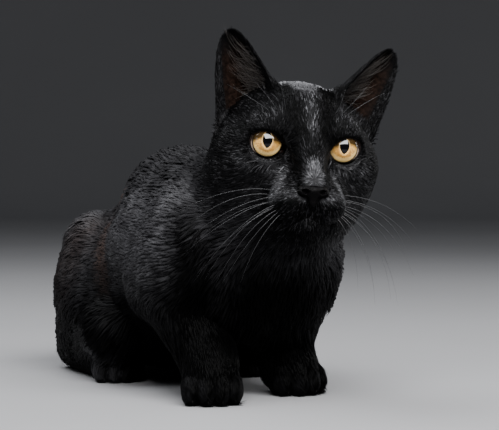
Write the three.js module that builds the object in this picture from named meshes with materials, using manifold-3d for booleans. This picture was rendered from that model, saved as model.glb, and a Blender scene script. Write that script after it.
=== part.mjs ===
// A short-haired domestic cat, life size, crouching: forepaws under the chest, haunches folded, the head
// raised and turned a little to its right, the tail laid round its left side.
// Millimetres, +Z up. The cat faces -Y and its left side is +X. The origin ends up under the middle of
// the finished model, on the floor. Every surface is the outline of the coat, out to the tips of the hair.
//
// The body is one smooth distance field, blended from balls and tapered limbs. Each node is that field
// meshed at its own fineness and trimmed to its own region of space, with a thin cut between neighbours.

import * as THREE from "three";
import { mergeVertices } from "three/addons/utils/BufferGeometryUtils.js";
import { edgeTable, triTable } from "three/addons/objects/MarchingCubes.js";
import Module from "manifold-3d";

const wasm = await Module();
wasm.setup();

// ---------------------------------------------------------------- driving dimensions

const CUT = 0.3; // gap between neighbouring nodes
const REACH = 500; // longer than the whole cat, for half spaces
const RIGHT = -1; // the sides, as signs of X
const LEFT = 1;

// The head frame's origin is midway between the eyes; its -Y is where the face points.
const HEAD = { x: 14, y: -165, z: 149, yaw: -11.5, pitch: 3, roll: 4.4 }; // degrees
const EYE = { radius: 11, apart: 43, deep: 4.9, outward: 6, lid: 1.3, width: 19, height: 16.4 };
const NOSE = { width: 14, height: 9.5, depth: 9, front: -36.4, z: -23.6 };
const EAR = { sunk: 0.3, thick: 2.8, tipThick: 1.7, halfWidth: 20.5, cup: 19 };

// Paws: where the longest toes end, and how far the paw is turned outwards, in degrees.
const FOREPAW = { right: { x: -35, y: -150, turn: 13 }, left: { x: 37, y: -122, turn: 10 } };
const HINDPAW = { x: 45, y: -14, turn: 6, size: 0.9 };

// Edge length of the meshing grid for each kind of node.
const CELL = {
  ...{ muzzle: 5.2, head: 8.2, neck: 17, trunk: 21.5, tail: 10.4 },
  ...{ foreleg: 12.2, forepaw: 5.8, haunch: 16.5, hock: 9, hindpaw: 6.4 },
};

// ---------------------------------------------------------------- distance fields

const radians = THREE.MathUtils.degToRad;

/** An ellipsoid. */
function ball([cx, cy, cz], [rx, ry, rz]) {
  return (x, y, z) => {
    const [px, py, pz] = [(x - cx) / rx, (y - cy) / ry, (z - cz) / rz];
    const k0 = Math.hypot(px, py, pz);
    const k1 = Math.hypot(px / rx, py / ry, pz / rz);
    return k1 < 1e-9 ? -Math.min(rx, ry, rz) : (k0 * (k0 - 1)) / k1;
  };
}

/** A rounded limb from a to b whose radius goes from ra to rb. */
function limb(a, ra, b, rb) {
  const [dx, dy, dz] = [b[0] - a[0], b[1] - a[1], b[2] - a[2]];
  const length2 = dx * dx + dy * dy + dz * dz;
  return (x, y, z) => {
    const along = ((x - a[0]) * dx + (y - a[1]) * dy + (z - a[2]) * dz) / length2;
    const t = Math.min(1, Math.max(0, along));
    return Math.hypot(x - a[0] - t * dx, y - a[1] - t * dy, z - a[2] - t * dz) - ra - t * (rb - ra);
  };
}

/** The union of fields, with their creases filled over a width of soft. */
function blend(soft, ...fields) {
  return (x, y, z) => {
    let d = fields[0](x, y, z);
    for (let i = 1; i < fields.length; i++) {
      const e = fields[i](x, y, z);
      const h = Math.max(0, 1 - Math.abs(d - e) / soft);
      d = Math.min(d, e) - (h * h * soft) / 4;
    }
    return d;
  };
}

/** A field in another frame: frame is a THREE.Object3D, of scale frame.scale.x. */
function placed(frame, field) {
  frame.updateMatrixWorld(true);
  const m = frame.matrixWorld.clone().invert().elements;
  const scale = frame.scale.x;
  return (x, y, z) =>
    scale *
    field(
      m[0] * x + m[4] * y + m[8] * z + m[12],
      m[1] * x + m[5] * y + m[9] * z + m[13],
      m[2] * x + m[6] * y + m[10] * z + m[14],
    );
}

function frameAt(x, y, z, { yaw = 0, pitch = 0, roll = 0, scale = 1 } = {}) {
  const frame = new THREE.Object3D();
  frame.position.set(x, y, z);
  frame.rotation.set(radians(pitch), radians(roll), radians(yaw), "ZXY");
  frame.scale.setScalar(scale);
  frame.updateMatrixWorld(true);
  return frame;
}

/** The same form on both sides. */
const pair = (form) => [form(RIGHT), form(LEFT)];

// ---------------------------------------------------------------- the cat's forms

function torsoField() {
  const ribs = ball([0, -40, 83], [58, 74, 58]);
  const breast = ball([12, -104, 78], [45, 36, 46]);
  const belly = ball([0, 16, 62], [56, 66, 57]);
  const hips = ball([0, 78, 63], [44, 50, 45]);
  const back = limb([1, -62, 110], 35, [0, -4, 111], 35);
  const croup = limb([0, -4, 109], 34, [0, 90, 77], 29);
  return blend(14, ribs, breast, belly, hips, back, croup);
}

const neckField = blend(
  20,
  limb([4, -84, 98], 45, [17, -126, 134], 39),
  limb([7, -108, 84], 36, [15, -140, 112], 30), // throat and ruff
);

/** Shoulder, upper arm, forearm and wrist, down to a paw that ends at the given place. */
function forelegField(side, paw, shoulder) {
  const behind = (length) => [
    paw.x - side * length * Math.sin(radians(paw.turn)),
    paw.y + length * Math.cos(radians(paw.turn)),
  ];
  const wrist = [...behind(30), 25];
  const elbow = [side * 41, paw.y + 82, 63];
  return blend(
    12,
    ball([shoulder.x, shoulder.y, 84], [20, 34, 38]),
    limb([shoulder.x, shoulder.y + 4, 80], 20, elbow, 16),
    limb(elbow, 16, wrist, 13),
    limb([side * 40, shoulder.y - 2, 62], 16, wrist, 13.5), // front of the forearm
    limb(wrist, 13, [...behind(20), 16], 13),
  );
}

/** A paw with four toes, its longest toes ending at the frame's origin. */
function pawField(frame) {
  const toes = [-1.5, -0.5, 0.5, 1.5].map((i) => {
    const back = Math.abs(i) > 1 ? 15.5 : 10.5; // the outer toes are set further back
    return ball([i * 8.3, back, 8.6], [5.7, 10.5, 9.6]);
  });
  const pad = ball([0, 27, 11], [15, 19, 12]);
  return placed(frame, blend(3.5, blend(2, ...toes), pad));
}

/** The folded hind leg: thigh and knee, the hock, and the foot flat on the floor. */
function haunchField(side) {
  return blend(
    12,
    ball([side * 41, 60, 53], [22, 50, 46]),
    ball([side * 30, 80, 87], [20, 28, 20]), // point of the hip
    limb([side * 38, 60, 52], 26, [side * 46, -6, 36], 19),
    limb([side * 46, -6, 34], 18, [side * 44, 80, 22], 15),
  );
}

function hindfootField(side) {
  return limb([side * 42, 94, 12.5], 12.5, [side * 45, HINDPAW.y + 22, 9.8], 11);
}

const tailPath = new THREE.CatmullRomCurve3(
  [
    [0, 112, 62],
    [4, 146, 36],
    [24, 163, 13.5],
    [58, 158, 11.5],
    [84, 127, 11],
    [93, 80, 10],
    [87, 34, 9],
    [75, -12, 8],
  ].map((p) => new THREE.Vector3(...p)),
);
const TAIL = { base: 17, middle: 13, tip: 9, steps: 14, onFloor: 0.36, flat: 0.8 };

/** The tail's radius at a share t of its length. Where it lies on the floor it sinks in by the flat. */
function tailRadius(t) {
  const taper = THREE.MathUtils.lerp(TAIL.middle, TAIL.tip, t);
  return taper + (TAIL.base - TAIL.middle) * Math.max(0, 1 - t / TAIL.onFloor) ** 2;
}

function tailField() {
  const stops = [...Array(TAIL.steps + 1).keys()].map((i) => {
    const t = i / TAIL.steps;
    const p = tailPath.getPoint(t);
    const radius = tailRadius(t);
    const z = t > TAIL.onFloor ? radius - TAIL.flat : Math.max(p.z, radius - TAIL.flat);
    return { at: [p.x, p.y, z], radius };
  });
  const lengths = stops.slice(1).map((s, i) => limb(stops[i].at, stops[i].radius, s.at, s.radius));
  return blend(3, ...lengths);
}

const headFrame = frameAt(HEAD.x, HEAD.y, HEAD.z, HEAD);
const eyePlace = (side) => [(side * EYE.apart) / 2, EYE.deep, 0];

function headField() {
  const cranium = ball([0, 35, 0], [38, 45, 33]);
  const crown = ball([0, 26, 13], [29, 30, 19]);
  const cheeks = pair((s) => ball([s * 24, 25, -13], [24.5, 26, 23]));
  const cheekbones = pair((s) => ball([s * 30.5, 21, -9], [15, 16, 13]));
  const brows = pair((s) => ball([s * 17, 8, 13.5], [13, 10, 8]));
  const bridge = limb([0, 8, 14], 15, [0, -23, -15], 8);
  const tip = ball([0, -27, -23], [7.5, 7, 7]);
  const muzzle = ball([0, -9, -27], [19, 21, 14]);
  const pads = pair((s) => ball([s * 10.5, -19, -31], [11, 14.5, 10]));
  const chin = ball([0, -12.5, -43], [10.5, 15.5, 7.5]);
  const jaws = pair((s) => limb([s * 9, -6, -38], 10, [s * 24, 30, -30], 14));
  const lids = pair((s) => ball(eyePlace(s), Array(3).fill(EYE.radius + EYE.lid)));
  return placed(
    headFrame,
    blend(
      8,
      blend(15, cranium, crown, ...cheeks, ...jaws),
      blend(5, blend(7, bridge, tip, muzzle), ...pads, chin),
      ...cheekbones,
      ...brows,
      blend(1, ...lids),
    ),
  );
}

const rightForeleg = forelegField(RIGHT, FOREPAW.right, { x: -36, y: -92 });
const leftForeleg = forelegField(LEFT, FOREPAW.left, { x: 43, y: -88 });

function pawFrame({ x, y, turn, size = 1 }, side) {
  return frameAt(x, y, 0, { yaw: -side * -turn, scale: size });
}

const body = (() => {
  const forepaws = [
    pawField(pawFrame(FOREPAW.right, RIGHT)),
    pawField(pawFrame(FOREPAW.left, LEFT)),
  ];
  const hindpaws = pair((s) => pawField(pawFrame({ ...HINDPAW, x: s * HINDPAW.x }, s)));
  const hind = pair((s) => blend(7, haunchField(s), hindfootField(s)));
  const trunk = blend(16, torsoField(), neckField, rightForeleg, leftForeleg);
  const withTail = blend(9, trunk, tailField());
  const withHaunches = blend(7, withTail, ...hind);
  return blend(5, blend(22, withHaunches, headField()), ...forepaws, ...hindpaws);
})();

// ---------------------------------------------------------------- meshing

// The corners and edges of a cell, in the order of three.js's marching cubes tables.
const CORNERS = [
  [0, 0, 0], [1, 0, 0], [1, 1, 0], [0, 1, 0],
  [0, 0, 1], [1, 0, 1], [1, 1, 1], [0, 1, 1],
];
const EDGES = [
  [0, 1], [1, 2], [2, 3], [3, 0],
  [4, 5], [5, 6], [6, 7], [7, 4],
  [0, 4], [1, 5], [2, 6], [3, 7],
];

/** The surface field = 0 inside a THREE.Box3, closed at the box, as an indexed geometry. */
function polygonise(field, box, cell) {
  const count = box.getSize(new THREE.Vector3()).divideScalar(cell).ceil();
  const [nx, ny, nz] = [count.x + 1, count.y + 1, count.z + 1];
  const index = (i, j, k) => (k * ny + j) * nx + i;
  const values = new Float64Array(nx * ny * nz);
  const near = cell * 0.06; // keeps crossings off the grid's own points
  for (let k = 0; k < nz; k++)
    for (let j = 0; j < ny; j++)
      for (let i = 0; i < nx; i++) {
        const rim = i === 0 || j === 0 || k === 0 || i === nx - 1 || j === ny - 1 || k === nz - 1;
        const d = field(box.min.x + i * cell, box.min.y + j * cell, box.min.z + k * cell);
        const kept = Math.abs(d) < near ? (d < 0 ? -near : near) : d;
        values[index(i, j, k)] = rim ? Math.max(near, kept) : kept;
      }
  const places = [];
  const faces = [];
  const known = new Map();
  const crossing = (a, b) => {
    const key = Math.min(a.n, b.n) * values.length + Math.max(a.n, b.n);
    if (!known.has(key)) {
      const share = a.d / (a.d - b.d);
      known.set(key, places.length / 3);
      for (const axis of [0, 1, 2]) {
        const at = a.at[axis] + share * (b.at[axis] - a.at[axis]);
        places.push(box.min.getComponent(axis) + at * cell);
      }
    }
    return known.get(key);
  };
  for (let k = 0; k < nz - 1; k++)
    for (let j = 0; j < ny - 1; j++)
      for (let i = 0; i < nx - 1; i++) {
        const corners = CORNERS.map(([a, b, c]) => {
          const n = index(i + a, j + b, k + c);
          return { n, d: values[n], at: [i + a, j + b, k + c] };
        });
        const kind = corners.reduce((bits, corner, n) => bits | (corner.d < 0 ? 1 << n : 0), 0);
        if (!edgeTable[kind]) continue;
        for (let n = kind * 16; triTable[n] !== -1; n += 3)
          for (const turn of [n, n + 2, n + 1]) {
            const [a, b] = EDGES[triTable[turn]];
            faces.push(crossing(corners[a], corners[b]));
          }
      }
  const made = new THREE.BufferGeometry();
  made.setAttribute("position", new THREE.Float32BufferAttribute(places, 3));
  made.setIndex(faces);
  return made;
}

/** Evens out a mesh's triangles, sliding its points over the surface field = 0. */
function settle(geometry, field, box, rounds) {
  const at = geometry.attributes.position;
  const faces = geometry.index.array;
  const neighbours = Array.from({ length: at.count }, () => new Set());
  for (let n = 0; n < faces.length; n += 3)
    for (const [a, b] of [[0, 1], [1, 2], [2, 0]]) {
      neighbours[faces[n + a]].add(faces[n + b]);
      neighbours[faces[n + b]].add(faces[n + a]);
    }
  const inner = box.clone().expandByScalar(-1e-3);
  const step = 0.05;
  const point = new THREE.Vector3();
  const slope = new THREE.Vector3();
  for (let round = 0; round < rounds; round++) {
    const next = new Float32Array(at.array);
    for (let n = 0; n < at.count; n++) {
      point.fromBufferAttribute(at, n);
      if (Math.abs(field(point.x, point.y, point.z)) > 2) continue; // a point of the box's own wall
      point.multiplyScalar(0.4);
      const share = 0.6 / neighbours[n].size;
      for (const m of neighbours[n]) {
        point.x += share * at.getX(m);
        point.y += share * at.getY(m);
        point.z += share * at.getZ(m);
      }
      for (let pass = 0; pass < 2; pass++) {
        const { x, y, z } = point;
        const d = field(x, y, z);
        slope.set(field(x + step, y, z) - d, field(x, y + step, z) - d, field(x, y, z + step) - d);
        point.addScaledVector(slope, (-d * step) / Math.max(slope.lengthSq(), 1e-6));
      }
      inner.clampPoint(point, point);
      point.toArray(next, n * 3);
    }
    at.array.set(next);
  }
  return geometry;
}

// ---------------------------------------------------------------- solids

function solid(geometry, frame = new THREE.Object3D()) {
  frame.updateMatrixWorld(true);
  const bare = geometry.clone();
  for (const name of Object.keys(bare.attributes)) if (name !== "position") bare.deleteAttribute(name);
  const merged = mergeVertices(bare.applyMatrix4(frame.matrixWorld), 1e-4);
  return new wasm.Manifold(
    new wasm.Mesh({
      numProp: 3,
      vertProperties: merged.attributes.position.array,
      triVerts: new Uint32Array(merged.index.array),
    }),
  );
}

/** The part of space below a plane, the way its normal points away from. */
function below(point, normal) {
  const frame = new THREE.Object3D();
  const up = new THREE.Vector3(...normal).normalize();
  frame.position.set(...point).addScaledVector(up, -REACH / 2);
  frame.quaternion.setFromUnitVectors(new THREE.Vector3(0, 0, 1), up);
  return solid(new THREE.BoxGeometry(REACH, REACH, REACH), frame);
}

const opposite = (normal) => normal.map((n) => -n);

/** A region of space: what is inside a box and below each plane. Its flesh is meshed with the cell. */
function region(cell, low, high, planes = []) {
  return { cell, box: new THREE.Box3(new THREE.Vector3(...low), new THREE.Vector3(...high)), planes };
}

/** The region as a solid, with each of its sides moved outwards by grown. */
function regionSolid({ box, planes }, grown = 0) {
  const around = box.clone().expandByScalar(grown);
  const frame = new THREE.Object3D();
  around.getCenter(frame.position);
  const whole = solid(new THREE.BoxGeometry(...around.getSize(new THREE.Vector3())), frame);
  return planes.reduce((kept, [point, normal]) => {
    const out = new THREE.Vector3(...normal).normalize().multiplyScalar(grown);
    return kept.intersect(below(out.add(new THREE.Vector3(...point)).toArray(), normal));
  }, whole);
}

const largest = (made) => made.decompose().sort((a, b) => b.volume() - a.volume())[0];
const aboveFloor = below([0, 0, 0], [0, 0, -1]);

/** The body in and a little round a region, meshed at its fineness. */
function fleshRound({ cell, box }, field = body) {
  const around = box.clone().expandByScalar(1.6 * cell);
  return solid(settle(polygonise(field, around, cell), field, around, 4)).intersect(aboveFloor);
}

// ---------------------------------------------------------------- where the body is divided

const inHead = (x, y, z) => headFrame.localToWorld(new THREE.Vector3(x, y, z)).toArray();
const headWay = (x, y, z) => new THREE.Vector3(x, y, z).transformDirection(headFrame.matrixWorld).toArray();

/** A region mirrored to the other side. */
function mirrored({ cell, box, planes }) {
  return region(
    cell,
    [-box.max.x, box.min.y, box.min.z],
    [-box.min.x, box.max.y, box.max.z],
    planes.map(([[x, y, z], [nx, ny, nz]]) => [[-x, y, z], [-nx, ny, nz]]),
  );
}

/** A forepaw, cut off on a slant through the wrist. */
const forepawRegion = ({ x, y }) =>
  region(CELL.forepaw, [x - 34, y - 8, -4], [x + 34, y + 48, 40], [[[x, y + 30, 19], [0, 0.5, 0.86]]]);

/** The rest of a foreleg, up the side of the chest to the shoulder. */
function forelegRegion(side, { y }) {
  const inner = [[side * 6, 0, 20], [-side * 0.87, 0, 0.5]];
  const behind = [[0, -37, 20], [0, 0.97, 0.24]];
  const [a, b] = [side * 80, side * 4].sort((m, n) => m - n);
  return region(CELL.foreleg, [a, y - 8, -4], [b, -28, 112], [inner, behind]);
}

const hindpaw = region(CELL.hindpaw, [-64, -30, -4], [-22, HINDPAW.y + 34, 22]);
const hock = region(CELL.hock, [-64, HINDPAW.y + 30, -4], [-20, 122, 20]);
const haunch = region(CELL.haunch, [-86, -46, -4], [-16, 134, 118], [
  [[-18, 0, 14], [0.97, 0, 0.22]],
  [[0, -10, 105], [0, -0.923, 0.385]],
]);

/** One length of the tail, from one share of its length to another, clear of the haunch. */
function tailRegion(low, high, from, to, haunchSide) {
  const ends = [from, to].map((t, end) => {
    const way = tailPath.getTangent(t).multiplyScalar(end ? 1 : -1);
    return [tailPath.getPoint(t).toArray(), way.toArray()];
  });
  return region(CELL.tail, low, high, [...(to < 1 ? ends : [ends[0]]), haunchSide]);
}

const REGIONS = {
  muzzle: region(CELL.muzzle, [-22, -218, 88], [40, -158, 142], [
    [inHead(0, -7, -24), headWay(0, 0.9, 0.42)],
    [inHead(0, -12, -52), headWay(0, 0.19, -0.98)],
  ]),
  head: region(CELL.head, [-62, -218, 78], [92, -68, 210], [
    [inHead(0, 30, -44), headWay(0, 0.8, -0.6)],
    [inHead(0, -12, -52), headWay(0, 0.19, -0.98)],
  ]),
  forepaw_right: forepawRegion(FOREPAW.right),
  forepaw_left: forepawRegion(FOREPAW.left),
  neck: region(CELL.neck, [-56, -200, 36], [90, -40, 190], [
    [[8, -98, 104], [-0.16, 0.66, -0.73]],
  ]),
  foreleg_right: forelegRegion(RIGHT, FOREPAW.right),
  foreleg_left: forelegRegion(LEFT, FOREPAW.left),
  hindpaw_right: hindpaw,
  hindpaw_left: mirrored(hindpaw),
  hock_right: hock,
  hock_left: mirrored(hock),
  tail_base: tailRegion([-26, 118, -4], [64, 192, 70], 0.1, 0.4, [[24, 120, 0], [0.52, -0.85, 0]]),
  tail_middle: tailRegion([40, 76, -4], [114, 186, 24], 0.4, 0.7, [[71, 100, 0], [-0.9, -0.43, 0]]),
  tail_tip: tailRegion([60, -28, -4], [114, 98, 21], 0.7, 1, [[65, 0, 0], [-1, 0, 0]]),
  haunch_right: haunch,
  haunch_left: mirrored(haunch),
  trunk: region(CELL.trunk, [-84, -160, -4], [84, 150, 168]),
};

// ---------------------------------------------------------------- eyes, nose and ears

/** A frame at an eye's middle, its -Y along the eye's own axis. */
function eyeFrame(side) {
  const frame = frameAt(...eyePlace(side), { yaw: side * EYE.outward });
  frame.applyMatrix4(headFrame.matrixWorld);
  return frame;
}

const eyeball = (side, grown = 0) =>
  solid(new THREE.SphereGeometry(EYE.radius + grown, 14, 10), eyeFrame(side));

/** The almond between the lids, as a prism in front of the eye. */
function lidOpening(side) {
  const [w, up, down] = [EYE.width / 2, EYE.height * 0.5, EYE.height * 0.5];
  const almond = new THREE.Shape();
  almond.moveTo(-w * 1.05, -3.2);
  almond.bezierCurveTo(-w * 0.6, up * 0.42, w * 0.2, up * 1.34, w, 2.2);
  almond.bezierCurveTo(w, -down * 0.98, -w * 0.5, -down * 1.52, -w * 1.05, -3.2);
  const prism = new THREE.ExtrudeGeometry(almond, { depth: 16, bevelEnabled: false, curveSegments: 9 });
  if (side === RIGHT) prism.rotateY(Math.PI).translate(0, 0, 16);
  prism.rotateX(Math.PI / 2).translate(0, -2, 0);
  return solid(prism, eyeFrame(side));
}

/** The bare tip of the nose: a rounded shield, wider at the top. */
function nose(grown = 0) {
  const [w, h] = [NOSE.width / 2 - 2, NOSE.height - 4];
  const shield = new THREE.Shape();
  shield.moveTo(-w, 0);
  shield.quadraticCurveTo(0, 1.6, w, 0);
  shield.quadraticCurveTo(w * 0.7, -h * 0.8, 0, -h);
  shield.quadraticCurveTo(-w * 0.7, -h * 0.8, -w, 0);
  const bevel = { bevelThickness: 2 + grown, bevelSize: 2 + grown, bevelSegments: 2, curveSegments: 4 };
  const made = new THREE.ExtrudeGeometry(shield, { depth: NOSE.depth - 4, ...bevel });
  made.rotateX(Math.PI / 2 + radians(14)).translate(0, NOSE.front + NOSE.depth - 2, NOSE.z + NOSE.height / 2 - 2);
  return solid(made, headFrame);
}

/** A cupped ear between the inner and outer ends of its base and its tip, given in the head frame. */
function ear({ inner, outer, tip, cup = 1 }) {
  const [a, b, c] = [inner, outer, tip].map((p) => new THREE.Vector3(...p));
  const root = a.clone().add(b).multiplyScalar(0.5);
  const across = b.clone().sub(a).normalize();
  const up = c.clone().sub(root);
  const back = new THREE.Vector3().crossVectors(across, up).normalize();
  if (back.y < 0) back.negate();
  const width = (t) => {
    const taper = EAR.halfWidth * (1 - 0.6 * Math.max(0, t)) + 6 * Math.max(0, -t);
    return taper * Math.sqrt(Math.max(0, 1 - Math.max(0, t) ** 6)) + 0.5;
  };
  const sheet = (s, t, side) => {
    const depth = cup * EAR.cup * (1 - Math.max(0, t)) ** 0.8 + 2.5 * Math.max(0, t);
    const thick = THREE.MathUtils.lerp(EAR.thick, EAR.tipThick, Math.max(0, t));
    const rim = 1 - 0.75 * s ** 6; // the shell thins towards its edges
    const behind = depth * (1 - s * s) + (side ? thick * rim : 0);
    return root
      .clone()
      .addScaledVector(up, t)
      .addScaledVector(across, s * (width(t) + (side ? 0.35 : 0)))
      .addScaledVector(back, behind - depth * 0.35);
  };
  const grid = new THREE.BoxGeometry(2, 1, 1, 8, 6, 1);
  const at = grid.attributes.position;
  for (let n = 0; n < at.count; n++) {
    const share = (at.getY(n) + 0.5) ** 0.8; // rows closer together towards the tip
    const t = share * (1 + EAR.sunk) - EAR.sunk;
    at.setXYZ(n, ...sheet(at.getX(n), t, at.getZ(n) > 0 ? 1 : 0).toArray());
  }
  const made = solid(grid, headFrame);
  return made.volume() < 0 ? solid(flipped(grid), headFrame) : made;
}

/** The geometry with its faces turned round. */
function flipped(geometry) {
  const faces = geometry.index.array;
  for (let n = 0; n < faces.length; n += 3) [faces[n + 1], faces[n + 2]] = [faces[n + 2], faces[n + 1]];
  return geometry;
}

const EARS = {
  ear_right: { inner: [-14, 21, 34], outer: [-46, 37, 8], tip: [-45.5, 33, 62.5] },
  ear_left: { inner: [20, 23, 34], outer: [48, 43, 10], tip: [58, 41, 59], cup: 0.95 },
};

// ---------------------------------------------------------------- all the solids, by name

function makeSolids() {
  const made = {};
  const cutters = [];
  for (const [name, place] of Object.entries(REGIONS)) {
    const whole = fleshRound(place).intersect(regionSolid(place));
    made[name] = cutters.reduce((left, cutter) => left.subtract(cutter), whole);
    cutters.push(regionSolid(place, CUT));
  }
  made.nose = nose();
  made.eye_right = eyeball(RIGHT);
  made.eye_left = eyeball(LEFT);
  for (const side of [RIGHT, LEFT]) {
    made.head = made.head.subtract(lidOpening(side)).subtract(eyeball(side, CUT));
  }
  made.muzzle = made.muzzle.subtract(nose(CUT));
  const grownHead = fleshRound(REGIONS.head, (x, y, z) => body(x, y, z) - CUT);
  for (const [name, points] of Object.entries(EARS)) made[name] = ear(points).subtract(grownHead);
  return Object.fromEntries(Object.entries(made).map(([name, s]) => [name, largest(s)]));
}

// ---------------------------------------------------------------- materials and the finished group

const FINISHES = {
  coat: { color: 0x17161a, roughness: 0.55 },
  earCoat: { color: 0x241c1c, roughness: 0.7 },
  bareNose: { color: 0x0d0c0d, roughness: 0.4 },
  iris: { color: 0xc79a4e, roughness: 0.15 },
};

function finishOf(name) {
  if (name.startsWith("eye")) return FINISHES.iris;
  if (name.startsWith("ear")) return FINISHES.earCoat;
  return name === "nose" ? FINISHES.bareNose : FINISHES.coat;
}

function geometryOf(made) {
  const { numProp, numVert, vertProperties, triVerts } = made.getMesh();
  const places = new Float32Array(numVert * 3);
  for (let n = 0; n < numVert; n++) places.set(vertProperties.subarray(n * numProp, n * numProp + 3), n * 3);
  const geometry = new THREE.BufferGeometry();
  geometry.setAttribute("position", new THREE.BufferAttribute(places, 3));
  return geometry.setIndex(new THREE.BufferAttribute(triVerts, 1));
}

const cat = new THREE.Group();
for (const [name, made] of Object.entries(makeSolids())) {
  const material = new THREE.MeshStandardMaterial({ ...finishOf(name), metalness: 0 });
  const mesh = new THREE.Mesh(geometryOf(made), material);
  mesh.name = name;
  cat.add(mesh);
}

// Stands the cat over the origin.
const bounds = new THREE.Box3().setFromObject(cat, true);
const middle = bounds.getCenter(new THREE.Vector3());
cat.children.forEach((mesh) => mesh.geometry.translate(-middle.x, -middle.y, 0));

export default cat;
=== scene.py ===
"""A black short-haired cat, crouching, life size: one skin, a coat of tufts, eyes, nose, whiskers and claws.

The forms are given in millimetres in the body's own frame: -Y is forward, +X the cat's left, +Z up, and the
floor is z = 0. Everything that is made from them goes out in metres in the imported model's frame.
"""

import math

import bpy
import numpy as np
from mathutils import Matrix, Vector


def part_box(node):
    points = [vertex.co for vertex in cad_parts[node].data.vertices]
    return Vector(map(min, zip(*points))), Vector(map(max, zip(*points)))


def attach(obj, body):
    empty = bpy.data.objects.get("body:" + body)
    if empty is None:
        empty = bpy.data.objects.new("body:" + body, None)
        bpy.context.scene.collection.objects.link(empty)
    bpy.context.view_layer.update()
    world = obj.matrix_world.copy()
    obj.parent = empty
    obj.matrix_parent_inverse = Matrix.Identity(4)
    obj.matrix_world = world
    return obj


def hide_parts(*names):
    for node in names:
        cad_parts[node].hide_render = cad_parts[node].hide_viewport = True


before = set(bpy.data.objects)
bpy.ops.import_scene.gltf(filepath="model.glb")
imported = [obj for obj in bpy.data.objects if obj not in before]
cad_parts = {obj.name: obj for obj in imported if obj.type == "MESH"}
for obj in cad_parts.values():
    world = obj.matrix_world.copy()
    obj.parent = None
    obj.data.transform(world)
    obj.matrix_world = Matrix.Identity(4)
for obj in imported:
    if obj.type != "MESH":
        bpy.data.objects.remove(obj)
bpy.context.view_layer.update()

import openvdb
from mathutils import Matrix, Vector

MM = 0.001
RIGHT, LEFT = SIDES = (-1, 1)  # the cat's sides, as signs of X
rng = np.random.default_rng(7)

# ---------------------------------------- camera

# The camera stands 22 degrees to the cat's right, level with its eyes, and looks a little down. The place is
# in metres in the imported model's frame, the angles are in degrees.
VIEW = {"at": (-0.4764, -1.2368, 0.147), "azimuth": -22.0, "tilt": -1.8, "lens": 149.8}


def make_camera():
    data = bpy.data.cameras.new("camera")
    data.lens = VIEW["lens"]
    data.clip_start, data.clip_end = 0.05, 50
    camera = bpy.data.objects.new("camera", data)
    bpy.context.scene.collection.objects.link(camera)
    camera.location = VIEW["at"]
    camera.rotation_euler = (math.radians(90 + VIEW["tilt"]), 0, math.radians(VIEW["azimuth"]))
    bpy.context.scene.camera = camera


make_camera()

# ---------------------------------------- driving dimensions, in millimetres

# The head frame's origin is midway between the eyes; its -Y is where the face points.
HEAD = {"at": (14, -165, 149), "yaw": -11.5, "pitch": 3, "roll": 4.4}
EYE = {"radius": 11, "apart": 43, "deep": 4.9, "outward": 6, "lid": 1.3, "iris": 8.2}
# How far the iris's middle has moved from the middle of the lids: away from the nose, and up.
GAZE = {RIGHT: (0.75, 1.0), LEFT: (-1.3, 1.0)}
# The opening between the lids, seen along the eye's axis with x away from the nose: the arcs of the lower
# and the upper lid as centre and radius, and the inner corner as a rod between two places and radii. The
# opening goes no nearer to the eye's middle than its floor.
LIDS = {
    "lower": ((0.5, 0.6), 9.3),
    "upper": ((2.3, -3.7), 10.4),
    "corner": ((-3.8, -1.5), 4.9, (-10.4, -2.8), 0.9),
    "floor": 10.4,
}
FOREPAWS = {RIGHT: {"at": (-35, -150, 0), "turn": 13}, LEFT: {"at": (37, -122, 0), "turn": 10}}
SHOULDERS = {RIGHT: (-36, -92), LEFT: (43, -88)}
HINDPAW = {"x": 45, "y": -14, "turn": 6, "size": 0.9}
TOES = (-1.5, -0.5, 0.5, 1.5)
TOE = {"apart": 8.3, "height": 8.6}
TAIL_PATH = [(0, 112, 62), (4, 146, 36), (24, 163, 13.5), (58, 158, 11.5),
             (84, 127, 11), (93, 80, 10), (87, 34, 9), (75, -12, 8)]
TAIL = {"base": 17, "middle": 13, "tip": 9, "steps": 20, "on_floor": 0.36, "flat": 0.8}
EARS = {
    RIGHT: {"inner": (-14, 21, 34), "outer": (-46, 37, 8), "tip": (-45.5, 33, 62.5), "cup": 1.0},
    LEFT: {"inner": (20, 23, 34), "outer": (48, 43, 10), "tip": (58, 41, 59), "cup": 0.95},
}
EAR = {"thick": 2.6, "tip_thick": 1.7, "half_width": 20.2, "cup": 19, "sunk": 0.25}
# The groove below the nose, and the line of the closed lips from its foot outwards.
MOUTH = [(0, -36, -27), (0, -34.5, -34), (0, -31.5, -38.6)]
LIP = [(0, -31.5, -38.6), (5, -30, -40.6), (11, -24.5, -41.6), (17, -13, -39.8), (20, -3, -37)]
# The valley between the bridge of the nose and the cheek, down to the nostril, and on to the lip's cleft.
VALLEY = [((12.6, -8, -1.5), 0.9), ((12.0, -13, -8), 1.5), ((10.6, -22.5, -15.5), 1.7),
          ((9.3, -30, -21.5), 1.8), ((5.2, -35, -28), 1.5), ((0.9, -35.5, -32), 0.9)]
CLEAR = 0.2  # between the floor and the flats that the cat rests on
# By zone: how deep the coat is over the skin, the length and width of its tufts, and their number per mm2.
COAT = {
    "torso": (4.4, 17.5, 1.25, 0.52), "neck": (4.2, 14.5, 1.2, 0.64), "foreleg": (2.6, 11.0, 0.95, 0.95),
    "hind": (3.8, 15.5, 1.25, 0.58), "hock": (1.6, 7.0, 0.85, 1.2), "tail": (3.2, 12.5, 1.3, 0.56),
    "head": (2.0, 7.4, 0.56, 1.35), "paw": (0.9, 4.0, 0.58, 2.1),
}
ZONES = tuple(COAT)
FACE_TUFTS = (3.3, 0.34, 3.0)  # length, width and density on the face and ears

# ---------------------------------------- distance fields
# A field takes points as an array of shape (3, n) and gives n signed distances, negative inside.


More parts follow.
